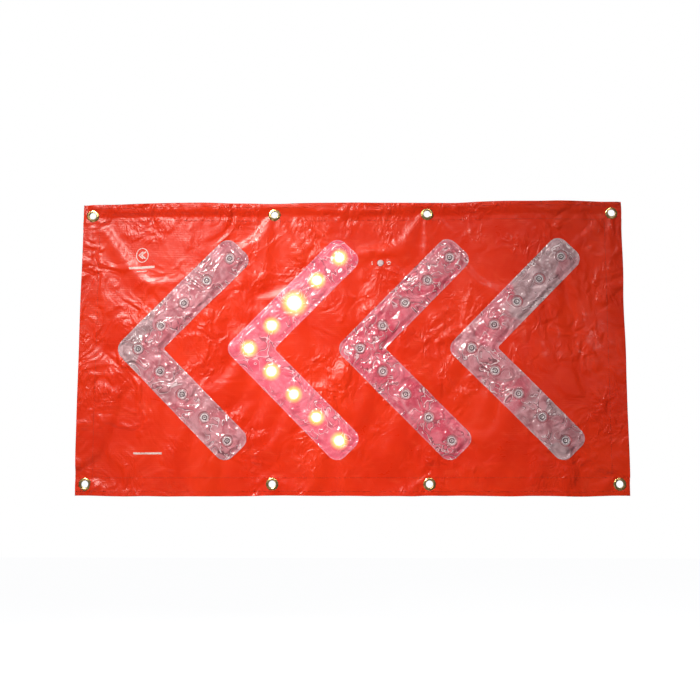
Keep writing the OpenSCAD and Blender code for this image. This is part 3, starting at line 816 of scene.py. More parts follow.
# one rounded stitch from each start to its end, lying on the sheet
def stitchesAlong(starts, ends, depth, lift):
    share = np.array([0.0, 0.08, 0.5, 0.92, 1.0])
    fat = np.array([0.25, 0.8, 1.0, 0.8, 0.25])
    points, faces = [], []
    turns = 2 * np.pi * np.arange(thread["sides"]) / thread["sides"]
    for (x0, z0), (x1, z1) in zip(starts, ends):
        length = math.hypot(x1 - x0, z1 - z0)
        across = np.array([-(z1 - z0), 0, x1 - x0]) / length
        base = len(points)
        centre = onSheet(x0 + (x1 - x0) * share, z0 + (z1 - z0) * share, depth)
        centre[:, 1] += lift * (fat - 0.9) * thread["radius"]
        for c, f in zip(centre, fat):
            for turn in turns:
                out = math.cos(turn) * across + math.sin(turn) * np.array([0, 1, 0])
                points.append(c + out * thread["radius"] * f)
        faces += tubeFaces(len(share), thread["sides"], base)
    return points, faces


def seamStitches(first, last):
    first, run = np.array(first), np.array(last) - np.array(first)
    count = int(np.hypot(*run) / thread["pitch"])
    step, stitch = run / count, thread["length"] / thread["pitch"]
    starts = [first + step * (i + 0.5) - step * 0.5 * stitch for i in range(count)]
    starts = [s for s in starts if nearest(*s, eyelets) > thread["eyeletR"]]
    return starts, [s + step * stitch for s in starts]


# thread: ply twist in its colour; the whole thread is painted darker than the vinyl, as painted shade
# along the stitched seams
def threadPaint(wire):
    place = wire.place()
    ply = place.noise(0.0008, 3, 0.7)
    return {
        "Base Color": ply.mix((0.3, 0.012, 0.004), (0.6, 0.05, 0.016)),
        "Roughness": ply * 0.25 + 0.45,
        "Normal": place.bump(ply, 0.0002, 0.8),
    }


def makeStitches():
    finish = finishOf("orangeThread", threadPaint)
    w, h = halfW - thread["inset"], halfH - thread["inset"]
    edge = halfH - banner["outerSeam"]
    wide, tall = halfW - thread["end"], h - thread["end"]
    seams = [((-wide, z), (wide, z)) for z in (h, -h)]
    seams += [((x, -tall), (x, tall)) for x in (-w, w)]
    seams += [((-wide, z), (wide, z)) for z in (edge, -edge)]
    rows = []
    for name, depth, lift in (("Front", thread["front"], -1), ("Back", thread["back"], 1)):
        points, faces = [], []
        for seam in seams:
            made, sides = stitchesAlong(*seamStitches(*seam), depth, lift)
            faces += [tuple(i + len(points) for i in f) for f in sides]
            points += made
        rows.append(piece("seamStitches" + name, points, faces, finish, slot="orange_vinyl"))
    return rows


frontSheet = makeFrontSheet()
hems = makeHems()
stitches = makeStitches()
print("sheet, hems and stitches made")

# clear film over the LEDs

film = {
    "step": 1.8 * mm,
    "weldRise": 0.45 * mm,
    "loose": 2.9 * mm,         # height of the film between the LEDs
    "overLed": 5.5 * mm,       # further height over a lens
    "tent": 13 * mm,
    "warp": 9 * mm,
    "warpCell": 60 * mm,
    "pleat": 0.35 * mm,
    "pleatReach": 16 * mm,
    "bead": 0.35 * mm,         # ridge that the weld leaves
    "beadAt": 3.2 * mm,
    # how grey each chevron's film is, and how much of that swirls and is fine cloud
    "haze": {1: (0.56, 0.12, 0.05), 2: (0.08, 0.1, 0.08), 3: (0.1, 0.14, 0.12), 4: (0.3, 0, 0.08)},
    "folds": ((50 * mm, 1.7 * mm), (26 * mm, 0.75 * mm), (11 * mm, 0.12 * mm)),
}


# height of the film in front of the sheet, with the share of it that is a sharp crease
def filmShape(n, x, z, gap):
    leds = ledPlaces(n)
    r = nearest(x, z, leds)
    loose = smooth((gap - chevron["weld"]) / (9 * mm))
    tent = film["overLed"] * np.exp(-(np.sqrt(r**2 + (2 * mm) ** 2) - 2 * mm) / film["tent"])
    warpX = x + film["warp"] * lumps(x, z, film["warpCell"], 70 + n)
    warpZ = z + film["warp"] * lumps(x, z, film["warpCell"], 80 + n)
    total = np.zeros(np.shape(x))
    crease = np.zeros(np.shape(x))
    for k, (size, depth) in enumerate(film["folds"]):
        wave = lumps(warpX, warpZ * (0.7 + 0.2 * k), size, 90 + 7 * n + k)
        ridge = 1 - np.sqrt(wave**2 + 0.004)
        total += depth * (ridge - 0.65)
        crease = np.maximum(crease, smooth((ridge - 0.9) / 0.06) * depth / film["folds"][0][1])
    for px, pz in leds:
        away = np.hypot(x - px, z - pz)
        turn = np.arctan2(z - pz, x - px)
        pleats = np.sin(turn * (6 + (n * 3 + int(px * 997)) % 4) + px * 90 + 3 * lumps(x, z, 30 * mm, n))
        total += film["pleat"] * pleats * smooth(away / (8 * mm) - 1) * np.exp(-away / film["pleatReach"])
    clear = smooth((r - 6.5 * mm) / (9 * mm))
    height = film["weldRise"] + loose * (film["loose"] + tent + clear * total)
    bead = film["bead"] * np.exp(-(((gap - film["beadAt"]) / (1.1 * mm)) ** 2))
    return np.maximum(height, film["weldRise"]) + bead, crease * loose


# 0 where the pink shows through the film, 1 where it is grey
def filmHaze(n, x, z):
    u, v = x - apexX(n), z - chevron["z"]
    swirl = lumps(x + 14 * mm * lumps(x, z, 40 * mm, n), z, 55 * mm, 200 + n)
    fine = lumps(x, z, 16 * mm, 210 + n)
    grey, bySwirl, byFine = film["haze"][n]
    haze = grey + bySwirl * swirl + byFine * fine
    if n == 1:      # greyer left of the apex
        haze += 0.45 * smooth((12 * mm - (u - 0.35 * v) + 10 * mm * fine) / (4 * mm))
    if n == 3:      # greyer at the upper arm's end
        haze += 0.25 * smooth((v - 150 * mm) / (50 * mm))
    if n == 4:      # bands, and grey at both arms' ends
        haze += 0.3 * smooth((swirl + 0.25 * fine + 0.05) / 0.12)
        haze += 0.45 * smooth((u + 0.55 * np.abs(v) - 150 * mm + 40 * mm * swirl) / (18 * mm))
    return np.clip(haze, 0, 1)


# sizes of the glow painted on the film round each lit LED
glow = {"core": 13.5 * mm, "brightCore": 20 * mm, "brightFrom": 80 * mm, "brightTo": 120 * mm}


# distance from the nearest lit LED, over the radius of its bright core
def glowOf(n, x, z):
    best = np.full(np.shape(x), 9.0)
    if n != chevron["lit"]:
        return best
    for px, pz in ledPlaces(n):
        strong = glow["brightFrom"] < px - apexX(n) < glow["brightTo"] and pz > 0
        uneven = 0.97 + 0.05 * math.sin(px * 400 + pz * 300)
        core = glow["brightCore"] if strong else glow["core"] * uneven
        best = np.minimum(best, np.hypot(x - px, z - pz) / core)
    return best


# clear film: pink or grey under it; painted white glints and painted shade lines where it folds; a lit
# LED's light painted on as a glow
def filmPaint(wire):
    place = wire.place()
    haze = wire.attribute("haze")
    crease = wire.attribute("crease")
    ring = wire.attribute("led")
    gap = wire.attribute("gap")
    lit = wire.attribute("glow")
    cloud = place.noise(0.03, 3, 0.5, 1.0)
    swirl = place.noise(0.042, 2, 0.4, 2.2)
    ripple = place.noise(0.016, 1, 0.5, 1.8)
    broken = place.noise(0.05, 2, 0.5).ramp(0.44, 0.54)
    fold = swirl - 0.5
    # glint and small paint white glints along the folds and ripples; shade paints the shade beside each
    # fold
    glint = abs(fold).ramp(0.02, 0.006) * broken
    shade = abs(fold - 0.036).ramp(0.024, 0.006) * broken
    small = abs(ripple - 0.5).ramp(0.02, 0.006) * (1 - broken) * 0.25
    pink = cloud.ramp(0.3, 0.7).mix((0.78, 0.075, 0.135), (0.9, 0.2, 0.27))
    grey = cloud.ramp(0.3, 0.7).mix((0.40, 0.225, 0.24), (0.7, 0.46, 0.49))
    tone = haze.mix(pink, grey)
    # painted shade beside the folds and along the creases
    tone = (shade * 0.75 + crease * 0.15).lowest(0.8).mix(tone, (0.16, 0.065, 0.075))
    # the weld band is painted lighter: partly the weld's own paler rim, partly a painted highlight on its
    # bead
    weld = gap.ramp(0.0, 0.8 * mm) * gap.ramp(3.6 * mm, 2.2 * mm)
    # painted glints, and a little painted glint on each crease, which is partly the crease's own
    # whitening
    white = (glint * 0.75 + small * 0.6 + crease * 0.2).lowest(1)
    tone = (white + weld * 0.2).lowest(0.92).mix(tone, (0.92, 0.82, 0.84))
    near = ring.ramp(15.0 * mm, 12.0 * mm)
    alpha = (1 - near * 0.85) * (0.8 + haze * 0.12) + white * 0.1
    # a lit LED's light and the camera's bloom painted on the film as a glow: a warm core, a halo and a
    # faint pink spill
    core = lit.ramp(0.95, 0.55)
    halo = lit.ramp(1.75, 0.75)
    warm = core.mix((1.0, 0.5, 0.06), (1.0, 0.97, 0.85))
    far = lit.ramp(7.0, 1.0)
    normal = place.bump(swirl, 0.0095, 0.8)
    normal = place.bump(ripple, 0.0011, 0.7, normal)
    return {
        "Base Color": tone,
        "Roughness": ripple * 0.08 + 0.09,
        "Alpha": alpha.highest(halo).lowest(1),
        "Normal": normal,
        "IOR": 1.6,
        "Emission Color": halo.mix(far.mix((0, 0, 0), (0.16, 0.03, 0.045)), warm),
        "Emission Strength": 1.7,
    }


filmFinish = finishOf("clearFilm", filmPaint)


def makeWindow(n):
    outline = outlines[n]
    low, high = outline.min(0) - film["step"], outline.max(0) + film["step"]
    x, z = gridOver(low[0], high[0], low[1], high[1], film["step"])
    x, z, faces = trimmed(x, z, lambda a, b: insideBy(a, b, outline), film["step"])
    gap = np.maximum(insideBy(x, z, outline), 0)
    height, crease = filmShape(n, x, z, gap)
    values = {
        "gap": gap, "crease": crease, "led": nearest(x, z, ledPlaces(n)),
        "haze": filmHaze(n, x, z), "glow": glowOf(n, x, z),
    }
    points = onSheet(x, z, -height)
    window = piece(f"windowFilm{n}", points, faces, filmFinish, values=values, slot="clear_film")
    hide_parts(f"window_film_{n}")
    return window


windows = [makeWindow(n) for n in outlines]
print("film windows made")

# LEDs: collars and clear domes, turned on the lathe and set on the sheet

led = {
    "sides": 28,
    "cupSides": 20,
    # radius and depth of each turned profile, from the middle outwards
    "collar": (
        (5.15, 3.0), (5.15, -0.9), (5.9, -1.15), (7.9, -1.95), (8.35, -1.6), (8.8, -2.1),
        (10.3, -2.42), (11.3, -2.2), (11.85, -1.6), (12.0, -0.9), (12.0, -0.05), (6.45, -0.05),
        (6.45, 3.0),
    ),
    "domeR": 5.0,
    "domeCentre": -2.6,
    "cup": ((4.5, -2.3), (3.6, -1.5), (2.1, -0.5), (1.65, -0.45), (1.6, -0.9), (0.0, -0.95)),
}


# a turned profile at each place, standing square on the sheet
def turnedAt(profile, places, sides, close=False):
    turns = 2 * np.pi * np.arange(sides) / sides
    points, faces, radii, ups = [], [], [], []
    rings = len(profile)
    for px, pz in places:
        tilt = math.atan(float(faceY(px + 0.5 * mm) - faceY(px - 0.5 * mm)) / mm)
        base, foot = len(points), float(faceY(px))
        for r, depth in np.array(profile) * mm:
            for turn in turns:
                u, w = r * math.cos(turn), r * math.sin(turn)
                points.append((
                    px + u * math.cos(tilt) - depth * math.sin(tilt),
                    foot + u * math.sin(tilt) + depth * math.cos(tilt),
                    pz + w,
                ))
                radii.append(r)
                ups.append(depth)
        for ring in range(rings if close else rings - 1):
            for k in range(sides):
                a, b = base + ring * sides + k, base + ring * sides + (k + 1) % sides
                c = base + (ring + 1) % rings * sides
                faces.append((a, b, c + (k + 1) % sides, c + k))
    return points, faces, {"radius": radii, "depth": ups}


# the middle ring of a profile that ends at radius 0 is closed to a point
def welded(obj):
    shape = bmesh.new()
    shape.from_mesh(obj.data)
    bmesh.ops.remove_doubles(shape, verts=shape.verts, dist=1e-6)
    bmesh.ops.recalc_face_normals(shape, faces=shape.faces)
    shape.to_mesh(obj.data)
    shape.free()


# moulded collars: painted highlight arcs on the inner ring between painted shade lines, and a pinker foot
def collarPaint(wire):
    place = wire.place()
    r = wire.attribute("radius")
    smear = place.noise(0.009, 3, 0.6, 0.6)
    broken = place.noise(0.0065, 2).ramp(0.42, 0.58)
    inner = r.ramp(9.2 * mm, 8.6 * mm)
    # gap paints the shade in the gap round the dome; line and rim paint broken dark arcs of shade at the
    # groove and the outer edge
    gap = r.ramp(6.7 * mm, 6.0 * mm)
    line = abs(r - 9.2 * mm).ramp(0.7 * mm, 0.2 * mm) * (0.35 + broken * 0.65)
    rim = r.ramp(11.2 * mm, 11.9 * mm) * (1 - broken) * 0.7
    foot = smear.ramp(0.35, 0.65).mix((0.62, 0.27, 0.32), (0.8, 0.55, 0.58))
    # highlightArcs paints broken white highlight arcs on the inner ring
    highlightArcs = broken.mix((0.62, 0.52, 0.55), (0.95, 0.92, 0.92))
    tone = inner.mix(foot, highlightArcs)
    return {
        "Base Color": (gap * 0.92 + line * 0.8 + rim).lowest(0.95).mix(tone, (0.05, 0.03, 0.035)),
        "Roughness": smear * 0.14 + 0.16,
        "Normal": place.bump(smear, 0.0005, 0.6),
    }


# clear dome, painted darker towards its edge: painted shade at the dome's rim
def domePaint(wire):
    place = wire.place()
    r = wire.attribute("radius")
    swirl = place.noise(0.003, 2, 0.5)
    rim = r.ramp(3.7 * mm, 4.9 * mm)
    return {
        "Base Color": rim.mix((0.97, 0.94, 0.95), (0.4, 0.32, 0.35)),
        "Alpha": rim * 0.45 + 0.12,
        "Roughness": swirl * 0.04 + 0.03,
        "IOR": 1.58,
    }


def cupPaint(wire):
    r = wire.attribute("radius")
    fine = wire.place().noise(0.0008, 3, 0.6)
    chip = r.ramp(1.75 * mm, 1.45 * mm)
    die = r.ramp(0.6 * mm, 0.4 * mm)
    bowl = r.ramp(2.0 * mm, 3.6 * mm)
    metal = bowl.mix((0.94, 0.92, 0.92), (0.66, 0.6, 0.62))
    return {
        "Base Color": die.mix(chip.mix(metal, (0.03, 0.02, 0.022)), (0.5, 0.36, 0.1)),
        "Metallic": (1 - chip) * 0.15,
        "Roughness": fine * 0.12 + 0.2,
    }


def makeLeds():
    angles = np.linspace(0, math.pi / 2, 9)
    top, radius = led["domeCentre"], led["domeR"]
    dome = [(radius * math.sin(a), top - radius * math.cos(a)) for a in angles]
    dome += [(radius, 0.4), (radius - 0.4, 2.9), (0.0, 3.0)]
    collarFinish = finishOf("holderPlastic", collarPaint)
    domeFinish = finishOf("lensPlastic", domePaint)
    cupFinish = finishOf("ledCup", cupPaint)
    kinds = (
        ("ledCollars", "led_holders_", led["collar"], led["sides"], collarFinish, "holder_plastic"),
        ("ledDomes", "led_lenses_", dome, led["sides"], domeFinish, "lens_plastic"),
        ("ledCups", None, led["cup"], led["cupSides"], cupFinish, "holder_plastic"),
    )
    for n in outlines:
        for name, node, profile, sides, finish, slot in kinds:
            points, faces, values = turnedAt(profile, ledPlaces(n), sides, name == "ledCollars")
            made = piece(f"{name}{n}", points, faces, finish, values=values, slot=slot)
            welded(made)
            if node:
                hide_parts(f"{node}{n}")


makeLeds()
print("LEDs made")

# print on the sheet: switch symbols, a plain chevron mark and a line to write on

ink = {
    "lift": 0.22 * mm,
    "step": 2.0 * mm,
    "switchX": (48.5 * mm, 86 * mm),
    "switchHeight": 8.5 * mm,
    "line": 1.7 * mm,
    "markX": -472 * mm,
    "markZ": 211 * mm,
    "markR": 16 * mm,
    "labelX": (-481 * mm, -417 * mm),
    "labelZ": -236 * mm,
}


# flat ribbon of ink along a path, lying just in front of the sheet
def inkLine(path, width, closed=False):
    path = np.array(path, float)
    if closed:
        path = np.vstack([path, path[:1]])
    runs = np.hypot(*np.diff(path, axis=0).T)
    dense = [path[0]]
    for a, b, run in zip(path, path[1:], runs):
        count = max(1, round(run / ink["step"]))
        dense += [a + (b - a) * (i + 1) / count for i in range(count)]
    dense = np.array(dense)
    run = np.gradient(dense, axis=0)
    if closed:
        run[0] = run[-1] = run[0] + run[-1]
    run /= np.hypot(*run.T)[:, None]
    across = np.stack([-run[:, 1], run[:, 0]], axis=1)
    sides = np.array([-0.5, 0.0, 0.5])
    flat = dense[:, None] + across[:, None] * sides[None, :, None] * width
    points = onSheet(flat[..., 0], flat[..., 1], -ink["lift"]).reshape(-1, 3)
    return points, gridFaces(len(dense), len(sides))


def inkPaint(wire):
    place = wire.place()
    worn = place.noise(0.004, 5, 0.7)
    weave = place.axes()[2].wave(vinyl["rib"] / 2)
    return {
        "Base Color": worn.ramp(0.3, 0.8).mix((0.9, 0.66, 0.6), (0.93, 0.82, 0.78)),
        "Alpha": (worn + weave * 0.06).ramp(0.28, 0.42) * 0.85,
        "Roughness": worn * 0.3 + 0.35,
    }


def makePrint():
    finish = finishOf("whiteInk", inkPaint)
    z, half = banner["buttonZ"], ink["switchHeight"] / 2
    onX, offX = ink["switchX"]
    turns = np.linspace(0, 2 * np.pi, 33)[:-1]
    ring = np.stack([np.cos(turns), np.sin(turns)], axis=1)
    mark = np.array([ink["markX"], ink["markZ"]])
    r = ink["markR"]
    arrow = np.array([(0.28, 0.5), (-0.32, 0.0), (0.28, -0.5)])
    lines = [
        ([(onX, z - half), (onX, z + half)], ink["line"], False),
        (np.array([offX, z]) + ring * (half - ink["line"] / 2), ink["line"], True),
        (mark + ring * r * (0.84, 1.0), 1.9 * mm, True),
        (mark + arrow * r + (-0.16 * r, 0), 3.0 * mm, False),
        (mark + arrow * r + (0.22 * r, 0), 3.0 * mm, False),
        ([mark + (-29 * mm, -30 * mm), mark + (29 * mm, -27 * mm)], 5.2 * mm, False),
        ([mark + (-11 * mm, -38 * mm), mark + (11 * mm, -37 * mm)], 2.2 * mm, False),
        ([(ink["labelX"][0], ink["labelZ"]), (ink["labelX"][1], ink["labelZ"])], 4.4 * mm, False),
    ]
    points, faces = [], []
    for path, width, closed in lines:
        made, sides = inkLine(path, width, closed)
        faces += [tuple(int(i) + len(points) for i in f) for f in sides]
        points += made.tolist()
    piece("whitePrint", points, faces, finish, slot="orange_vinyl")


makePrint()
print("print made")

# the back: liner, battery pocket and its flap

liner = {
    "step": 4.5 * mm,
    "edge": 42 * mm,          # from the sheet's edge
    "rim": 11 * mm,
    "depth": 7.6 * mm,
    "rimDepth": 1.25 * mm,
    "window": (34.6 * mm, 25.6 * mm, 5.5 * mm),   # half sizes and corner of the flasher's opening
    "leadHole": 4 * mm,
    "corner": 6 * mm,
    "rise": 9 * mm,
    "puff": 3.0 * mm,
    "ledBump": 1.1 * mm,
    "wireBump": 0.6 * mm,
    "caseSeat": (46 * mm, 37 * mm, 8 * mm),       # half sizes and corner of the places kept flat
    "pocketSeat": (60 * mm, 60 * mm, 8 * mm),
    "pocketSeatZ": 72 * mm,
    "seatFade": 22 * mm,
}
pocket = {
    "x": banner["buttonX"],
    "leadZ": 70 * mm,
    "foot": 17 * mm,
    "floor": 27 * mm,
    "mouth": 111 * mm,
    "flange": 55 * mm,
    "half": 45 * mm,
    "front": 8.15 * mm,
    "back": 33.7 * mm,
    "round": 6 * mm,
    "seamR": 2.2 * mm,
    "bulge": 0.6 * mm,
    "dent": 0.35 * mm,
    "binding": (7 * mm, 1.7 * mm),
}
flap = {
    "half": 48 * mm,
    "hingeY": 8.6 * mm,
    "roofZ": 113.9 * mm,
    "tongueY": 35.2 * mm,
    "foot": 66 * mm,
    "bend": 4 * mm,
    "corner": 9 * mm,
    "dent": (0.45 * mm, 0.2 * mm),
    "binding": (6 * mm, 1.6 * mm),
    "anchorDepth": 0.47 * mm,
}


# signed distance to a rectangle with rounded corners, above 0 inside it
def insideBox(x, z, centre, halfX, halfZ, corner):
    dx = np.abs(x - centre[0]) - halfX + corner
    dz = np.abs(z - centre[1]) - halfZ + corner
    outer = np.hypot(np.maximum(dx, 0), np.maximum(dz, 0))
    return corner - outer - np.minimum(np.maximum(dx, dz), 0)


def linerEdge(x, z):
    return insideBox(x, z, (0, 0), halfW - liner["edge"], halfH - liner["edge"], liner["corner"])


def linerGap(x, z):
    window = -insideBox(x, z, buttonPlace, *liner["window"])
    lead = np.hypot(x - pocket["x"], z - pocket["leadZ"]) - liner["leadHole"]
    return np.minimum(np.minimum(linerEdge(x, z), window), lead)


# distance from a point to the run of each chevron's wires
def wireGap(x, z):
    best = np.full(np.shape(x), 1e9)
    for n in outlines:
        u, v = x - apexX(n), np.abs(z - chevron["z"])
        along = np.clip(u * armRun[0] + v * armRun[1], 0, chevron["ledsPerArm"] * chevron["ledPitch"])
        best = np.minimum(best, np.hypot(u - along * armRun[0], v - along * armRun[1]))
    return best


def linerPoint(x, z):
    raised = smooth((linerEdge(x, z) - liner["rim"]) / liner["rise"])
    seat = np.maximum(
        insideBox(x, z, buttonPlace, *liner["caseSeat"]),
        insideBox(x, z, (pocket["x"], liner["pocketSeatZ"]), *liner["pocketSeat"]),
    )
    free = smooth(-seat / liner["seatFade"]) * raised
    folds = 0.5 + 0.5 * lumps(x, z, 95 * mm, 300)
    folds += 0.35 * (1 - np.abs(lumps(x + 0.02 * lumps(x, z, 0.1, 303), z, 38 * mm, 301)))
    folds += 0.1 * lumps(x, z, 15 * mm, 302)
    bumps = liner["ledBump"] * np.exp(-((nearest(x, z, allLeds) / (9 * mm)) ** 2))
    bumps += liner["wireBump"] * np.exp(-((wireGap(x, z) / (4.5 * mm)) ** 2))
    low = sheetY(x, z) + liner["rimDepth"]
    high = faceY(x) + liner["depth"] + np.maximum(liner["puff"] * folds, 0) * free + bumps * free
    return np.stack([x, low + (high - low) * raised, z], axis=-1)


def makeLiner():
    w, h = halfW - liner["edge"], halfH - liner["edge"]
    x, z = gridOver(-w, w, -h, h, liner["step"])
    x, z, faces = trimmed(x, z, linerGap, liner["step"])
    made = piece("backLiner", linerPoint(x, z), faces, backVinyl, slot="liner_vinyl")
    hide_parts("back_liner")
    return made


# a pocket's outline in X and depth, from one flange round the back to the other
def pocketSection(steps=7):
    half, r = pocket["half"], pocket["round"]
    front, back = pocket["front"], pocket["back"]
    small = pocket["seamR"]
    turns = np.linspace(0, math.pi / 2, steps)
    right = [(pocket["flange"] - t * (pocket["flange"] - half - small), front) for t in (0, 0.35, 0.7)]
    right += [(half + small - small * math.sin(t), front + small - small * math.cos(t)) for t in turns]
    right += [(half, front + small + t * (back - front - small - r)) for t in (0.25, 0.5, 0.75)]
    right += [(half - r + r * math.cos(t), back - r + r * math.sin(t)) for t in turns]
    span = half - r
    flat = [(span - 2 * span * t, back) for t in np.linspace(0, 1, 22)[1:-1]]
    return np.array(right + flat + [(-x, y) for x, y in reversed(right)])


def pocketGrid():
    section = pocketSection()
    low, r = pocket["floor"], pocket["round"]
    walls = [(z, 1.0) for z in np.linspace(pocket["mouth"], low + r, 18)]
    turns = np.linspace(0, math.pi / 2, 8)[1:]
    walls += [(low + r - r * math.sin(t), 0.76 + 0.24 * math.cos(t)) for t in turns]
    walls += [(low, d) for d in (0.55, 0.32, 0.12)]
    walls += [(low - t * (low - pocket["foot"]), 0.0) for t in (0.1, 0.4, 0.7, 1.0)]
    rows = []
    for z, share in walls:
        depth = pocket["front"] + (section[:, 1] - pocket["front"]) * share
        rows.append(np.stack([pocket["x"] + section[:, 0], depth, np.full(len(section), z)], axis=1))
    grid = np.array(rows)
    out = smooth((grid[..., 1] - pocket["front"] - 4 * mm) / (8 * mm))
    push = pocket["bulge"] * (1 + lumps(grid[..., 0], grid[..., 2], 34 * mm, 320))
    push += pocket["dent"] * lumps(grid[..., 0], grid[..., 2], 12 * mm, 321)
    inside = smooth((pocket["mouth"] - 2 * mm - grid[..., 2]) / (10 * mm))
    grid[..., 1] += out * push * inside
    return grid


# a soft band of tape folded over an edge, along a path with its direction into the cloth
def tapeOver(path, inward, width, thick):
    turns = np.linspace(0, 2 * np.pi, 13)[:-1]
    path, inward = np.array(path), np.array(inward, float)
    run = np.gradient(path, axis=0)
    run /= np.linalg.norm(run, axis=1)[:, None]
    side = np.cross(run, inward)
    side /= np.linalg.norm(side, axis=1)[:, None]
    ring = [(abs(math.cos(t)) ** 0.6 * math.copysign(1, math.cos(t)), math.sin(t)) for t in turns]
    points = np.array([
        p + i * (width / 2 * (1 + a) - 0.4 * mm) + s * b * thick / 2
        for p, i, s in zip(path, inward, side) for a, b in ring
    ])
    return points, tubeFaces(len(path), len(turns))


def tapePaint(wire):
    place = wire.place()
    x, y, z = place.axes()
    rib = (x + z * 0.4).wave(1.1 * mm) * 0.5 + 0.5
    fuzz = place.noise(0.0009, 4, 0.7)
    return {
        "Base Color": (rib * 0.5 + fuzz * 0.5).mix((0.012, 0.012, 0.013), (0.05, 0.05, 0.055)),
        "Roughness": fuzz * 0.2 + 0.62,
        "Normal": place.bump(rib * 0.6 + fuzz, 0.0003, 0.8),
    }


tape = finishOf("bindingTape", tapePaint)


def solidify(obj):
    modifier = obj.modifiers.new("thickness", "SOLIDIFY")
    modifier.thickness, modifier.offset = vinyl["backing"], 0
    modifier.use_even_offset = False
    graph = bpy.context.evaluated_depsgraph_get()
    mesh = bpy.data.meshes.new_from_object(obj.evaluated_get(graph))
    obj.modifiers.clear()
    obj.data = mesh


def makePocket():
    grid = pocketGrid()
    pouch = gridPiece("batteryPocket", grid, backVinyl, slot="liner_vinyl")
    solidify(pouch)
    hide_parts("battery_pocket")
    rim = grid[0, 3:-3]
    points, faces = tapeOver(rim, np.tile([0, 0, -1], (len(rim), 1)), *pocket["binding"])
    return pouch, piece("pocketBinding", points, faces, tape, slot="black_tape")


# the flap's profile in depth and height, from its hinge over the bend to the tongue's end
def flapSection():
    r = flap["bend"]
    deep = flap["tongueY"] - r - flap["hingeY"]
    roof = [(flap["hingeY"] + t * deep, flap["roofZ"]) for t in np.linspace(0, 1, 9)]
    turns = np.linspace(0, math.pi / 2, 8)[1:]
    middle, low = flap["tongueY"] - r, flap["roofZ"] - r
    bend = [(middle + r * math.sin(t), low + r * math.cos(t)) for t in turns]
    drop = [(flap["tongueY"], z) for z in np.linspace(flap["roofZ"] - r, flap["foot"], 17)[1:]]
    return np.array(roof + bend + drop)


def makeFlap():
    section = flapSection()
    length = np.concatenate([[0], np.cumsum(np.hypot(*np.diff(section, axis=0).T))])
    wide = np.linspace(-flap["half"], flap["half"], 33)
    x, s = np.meshgrid(wide, length)
    left = length[-1] - s
    inset = np.maximum(flap["corner"] - left, 0)
    narrow = flap["corner"] - np.sqrt(np.maximum(flap["corner"] ** 2 - inset**2, 0))
    x = x * (flap["half"] - narrow) / flap["half"]
    depth = np.interp(s, length, section[:, 0])
    height = np.interp(s, length, section[:, 1])
    wave = flap["dent"][0] * lumps(x, s, 30 * mm, 330) + flap["dent"][1] * lumps(x, s, 11 * mm, 331)
    onTongue = smooth((s - length[8]) / (12 * mm))
    depth = depth + np.abs(wave) * onTongue
    height = height - np.abs(wave) * (1 - onTongue) * smooth(s / (8 * mm))
    points = np.stack([pocket["x"] + x, depth, height], axis=-1)
    cover = gridPiece("pocketFlap", points, backVinyl, "flap", slot="liner_vinyl")
    solidify(cover)
    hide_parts("pocket_flap")
    edge = np.concatenate([points[3:, 0], points[-1, 1:-1], points[3:, -1][::-1]])
    toward = np.zeros_like(edge)
    sides = len(points[3:, 0])
    toward[:sides, 0], toward[-sides:, 0] = 1, -1
    toward[sides:-sides, 2] = 1
    for i in range(3):
        share = (i + 1) / 4
        toward[sides - 1 - i] = (1 - share * 0.5, 0, share * 0.9)
        toward[-sides + i] = (-1 + share * 0.5, 0, share * 0.9)
    toward /= np.linalg.norm(toward, axis=1)[:, None]
    points, faces = tapeOver(edge, toward, *flap["binding"])
    binding = piece("flapBinding", points, faces, tape, "flap", slot="black_tape")
    return cover, binding


strip = {"step": 0.8 * mm, "corner": 1.5 * mm, "edge": 1.2 * mm, "tuft": 1.3 * mm}


# strips of hook and loop, each a soft-edged pad with a nap
def makeStrip(name, node, body, out):
    low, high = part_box(node)
    x, z = gridOver(low[0], high[0], low[2], high[2], strip["step"])
    centre, half = (low + high) / 2, (high - low) / 2
    gap = insideBox(x, z, (centre[0], centre[2]), half[0], half[2], strip["corner"])
    back, face = (low[1], high[1]) if out > 0 else (high[1], low[1])
    nap = 0.5 + 0.5 * lumps(x, z, strip["tuft"], 340 + (out > 0))
    y = back + (face - back) * smooth(gap / strip["edge"]) * (0.55 + 0.55 * nap)
    made = gridPiece(name, np.stack([x, y, z], axis=-1), stripFinish, body, slot="black_tape")
    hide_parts(node)
    return made


def stripPaint(wire):
    place = wire.place()
    tuft = place.cells(0.0013)
    fuzz = place.noise(0.0006, 5, 0.75)
    nap = tuft.ramp(0.0, 0.7) * 0.6 + fuzz * 0.4
    return {
        "Base Color": nap.mix((0.008, 0.008, 0.009), (0.06, 0.06, 0.06)),
        "Roughness": fuzz * 0.15 + 0.75,
        "Normal": place.bump(tuft + fuzz * 0.6, 0.0005, 1.0),
    }


stripFinish = finishOf("hookAndLoop", stripPaint)


def makeAnchor():
    low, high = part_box("flap_anchor")
    x, z = gridOver(low[0], high[0], low[2], high[2], 2.0 * mm)
    y = high[1] - flap["anchorDepth"] + 0.1 * mm * lumps(x, z, 12 * mm, 350)
    anchor = gridPiece("flapAnchor", np.stack([x, y, z], axis=-1), backVinyl, slot="liner_vinyl")
    solidify(anchor)
    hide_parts("flap_anchor")
    return anchor


backLiner = makeLiner()
pouch, pouchBinding = makePocket()
cover, coverBinding = makeFlap()
loopStrip = makeStrip("loopStrip", "loop_strip", "banner", 1)
hookStrip = makeStrip("hookStrip", "hook_strip", "flap", -1)
anchor = makeAnchor()
print("liner, pocket and flap made")

# finishes of the moulded, metal and rubber pieces


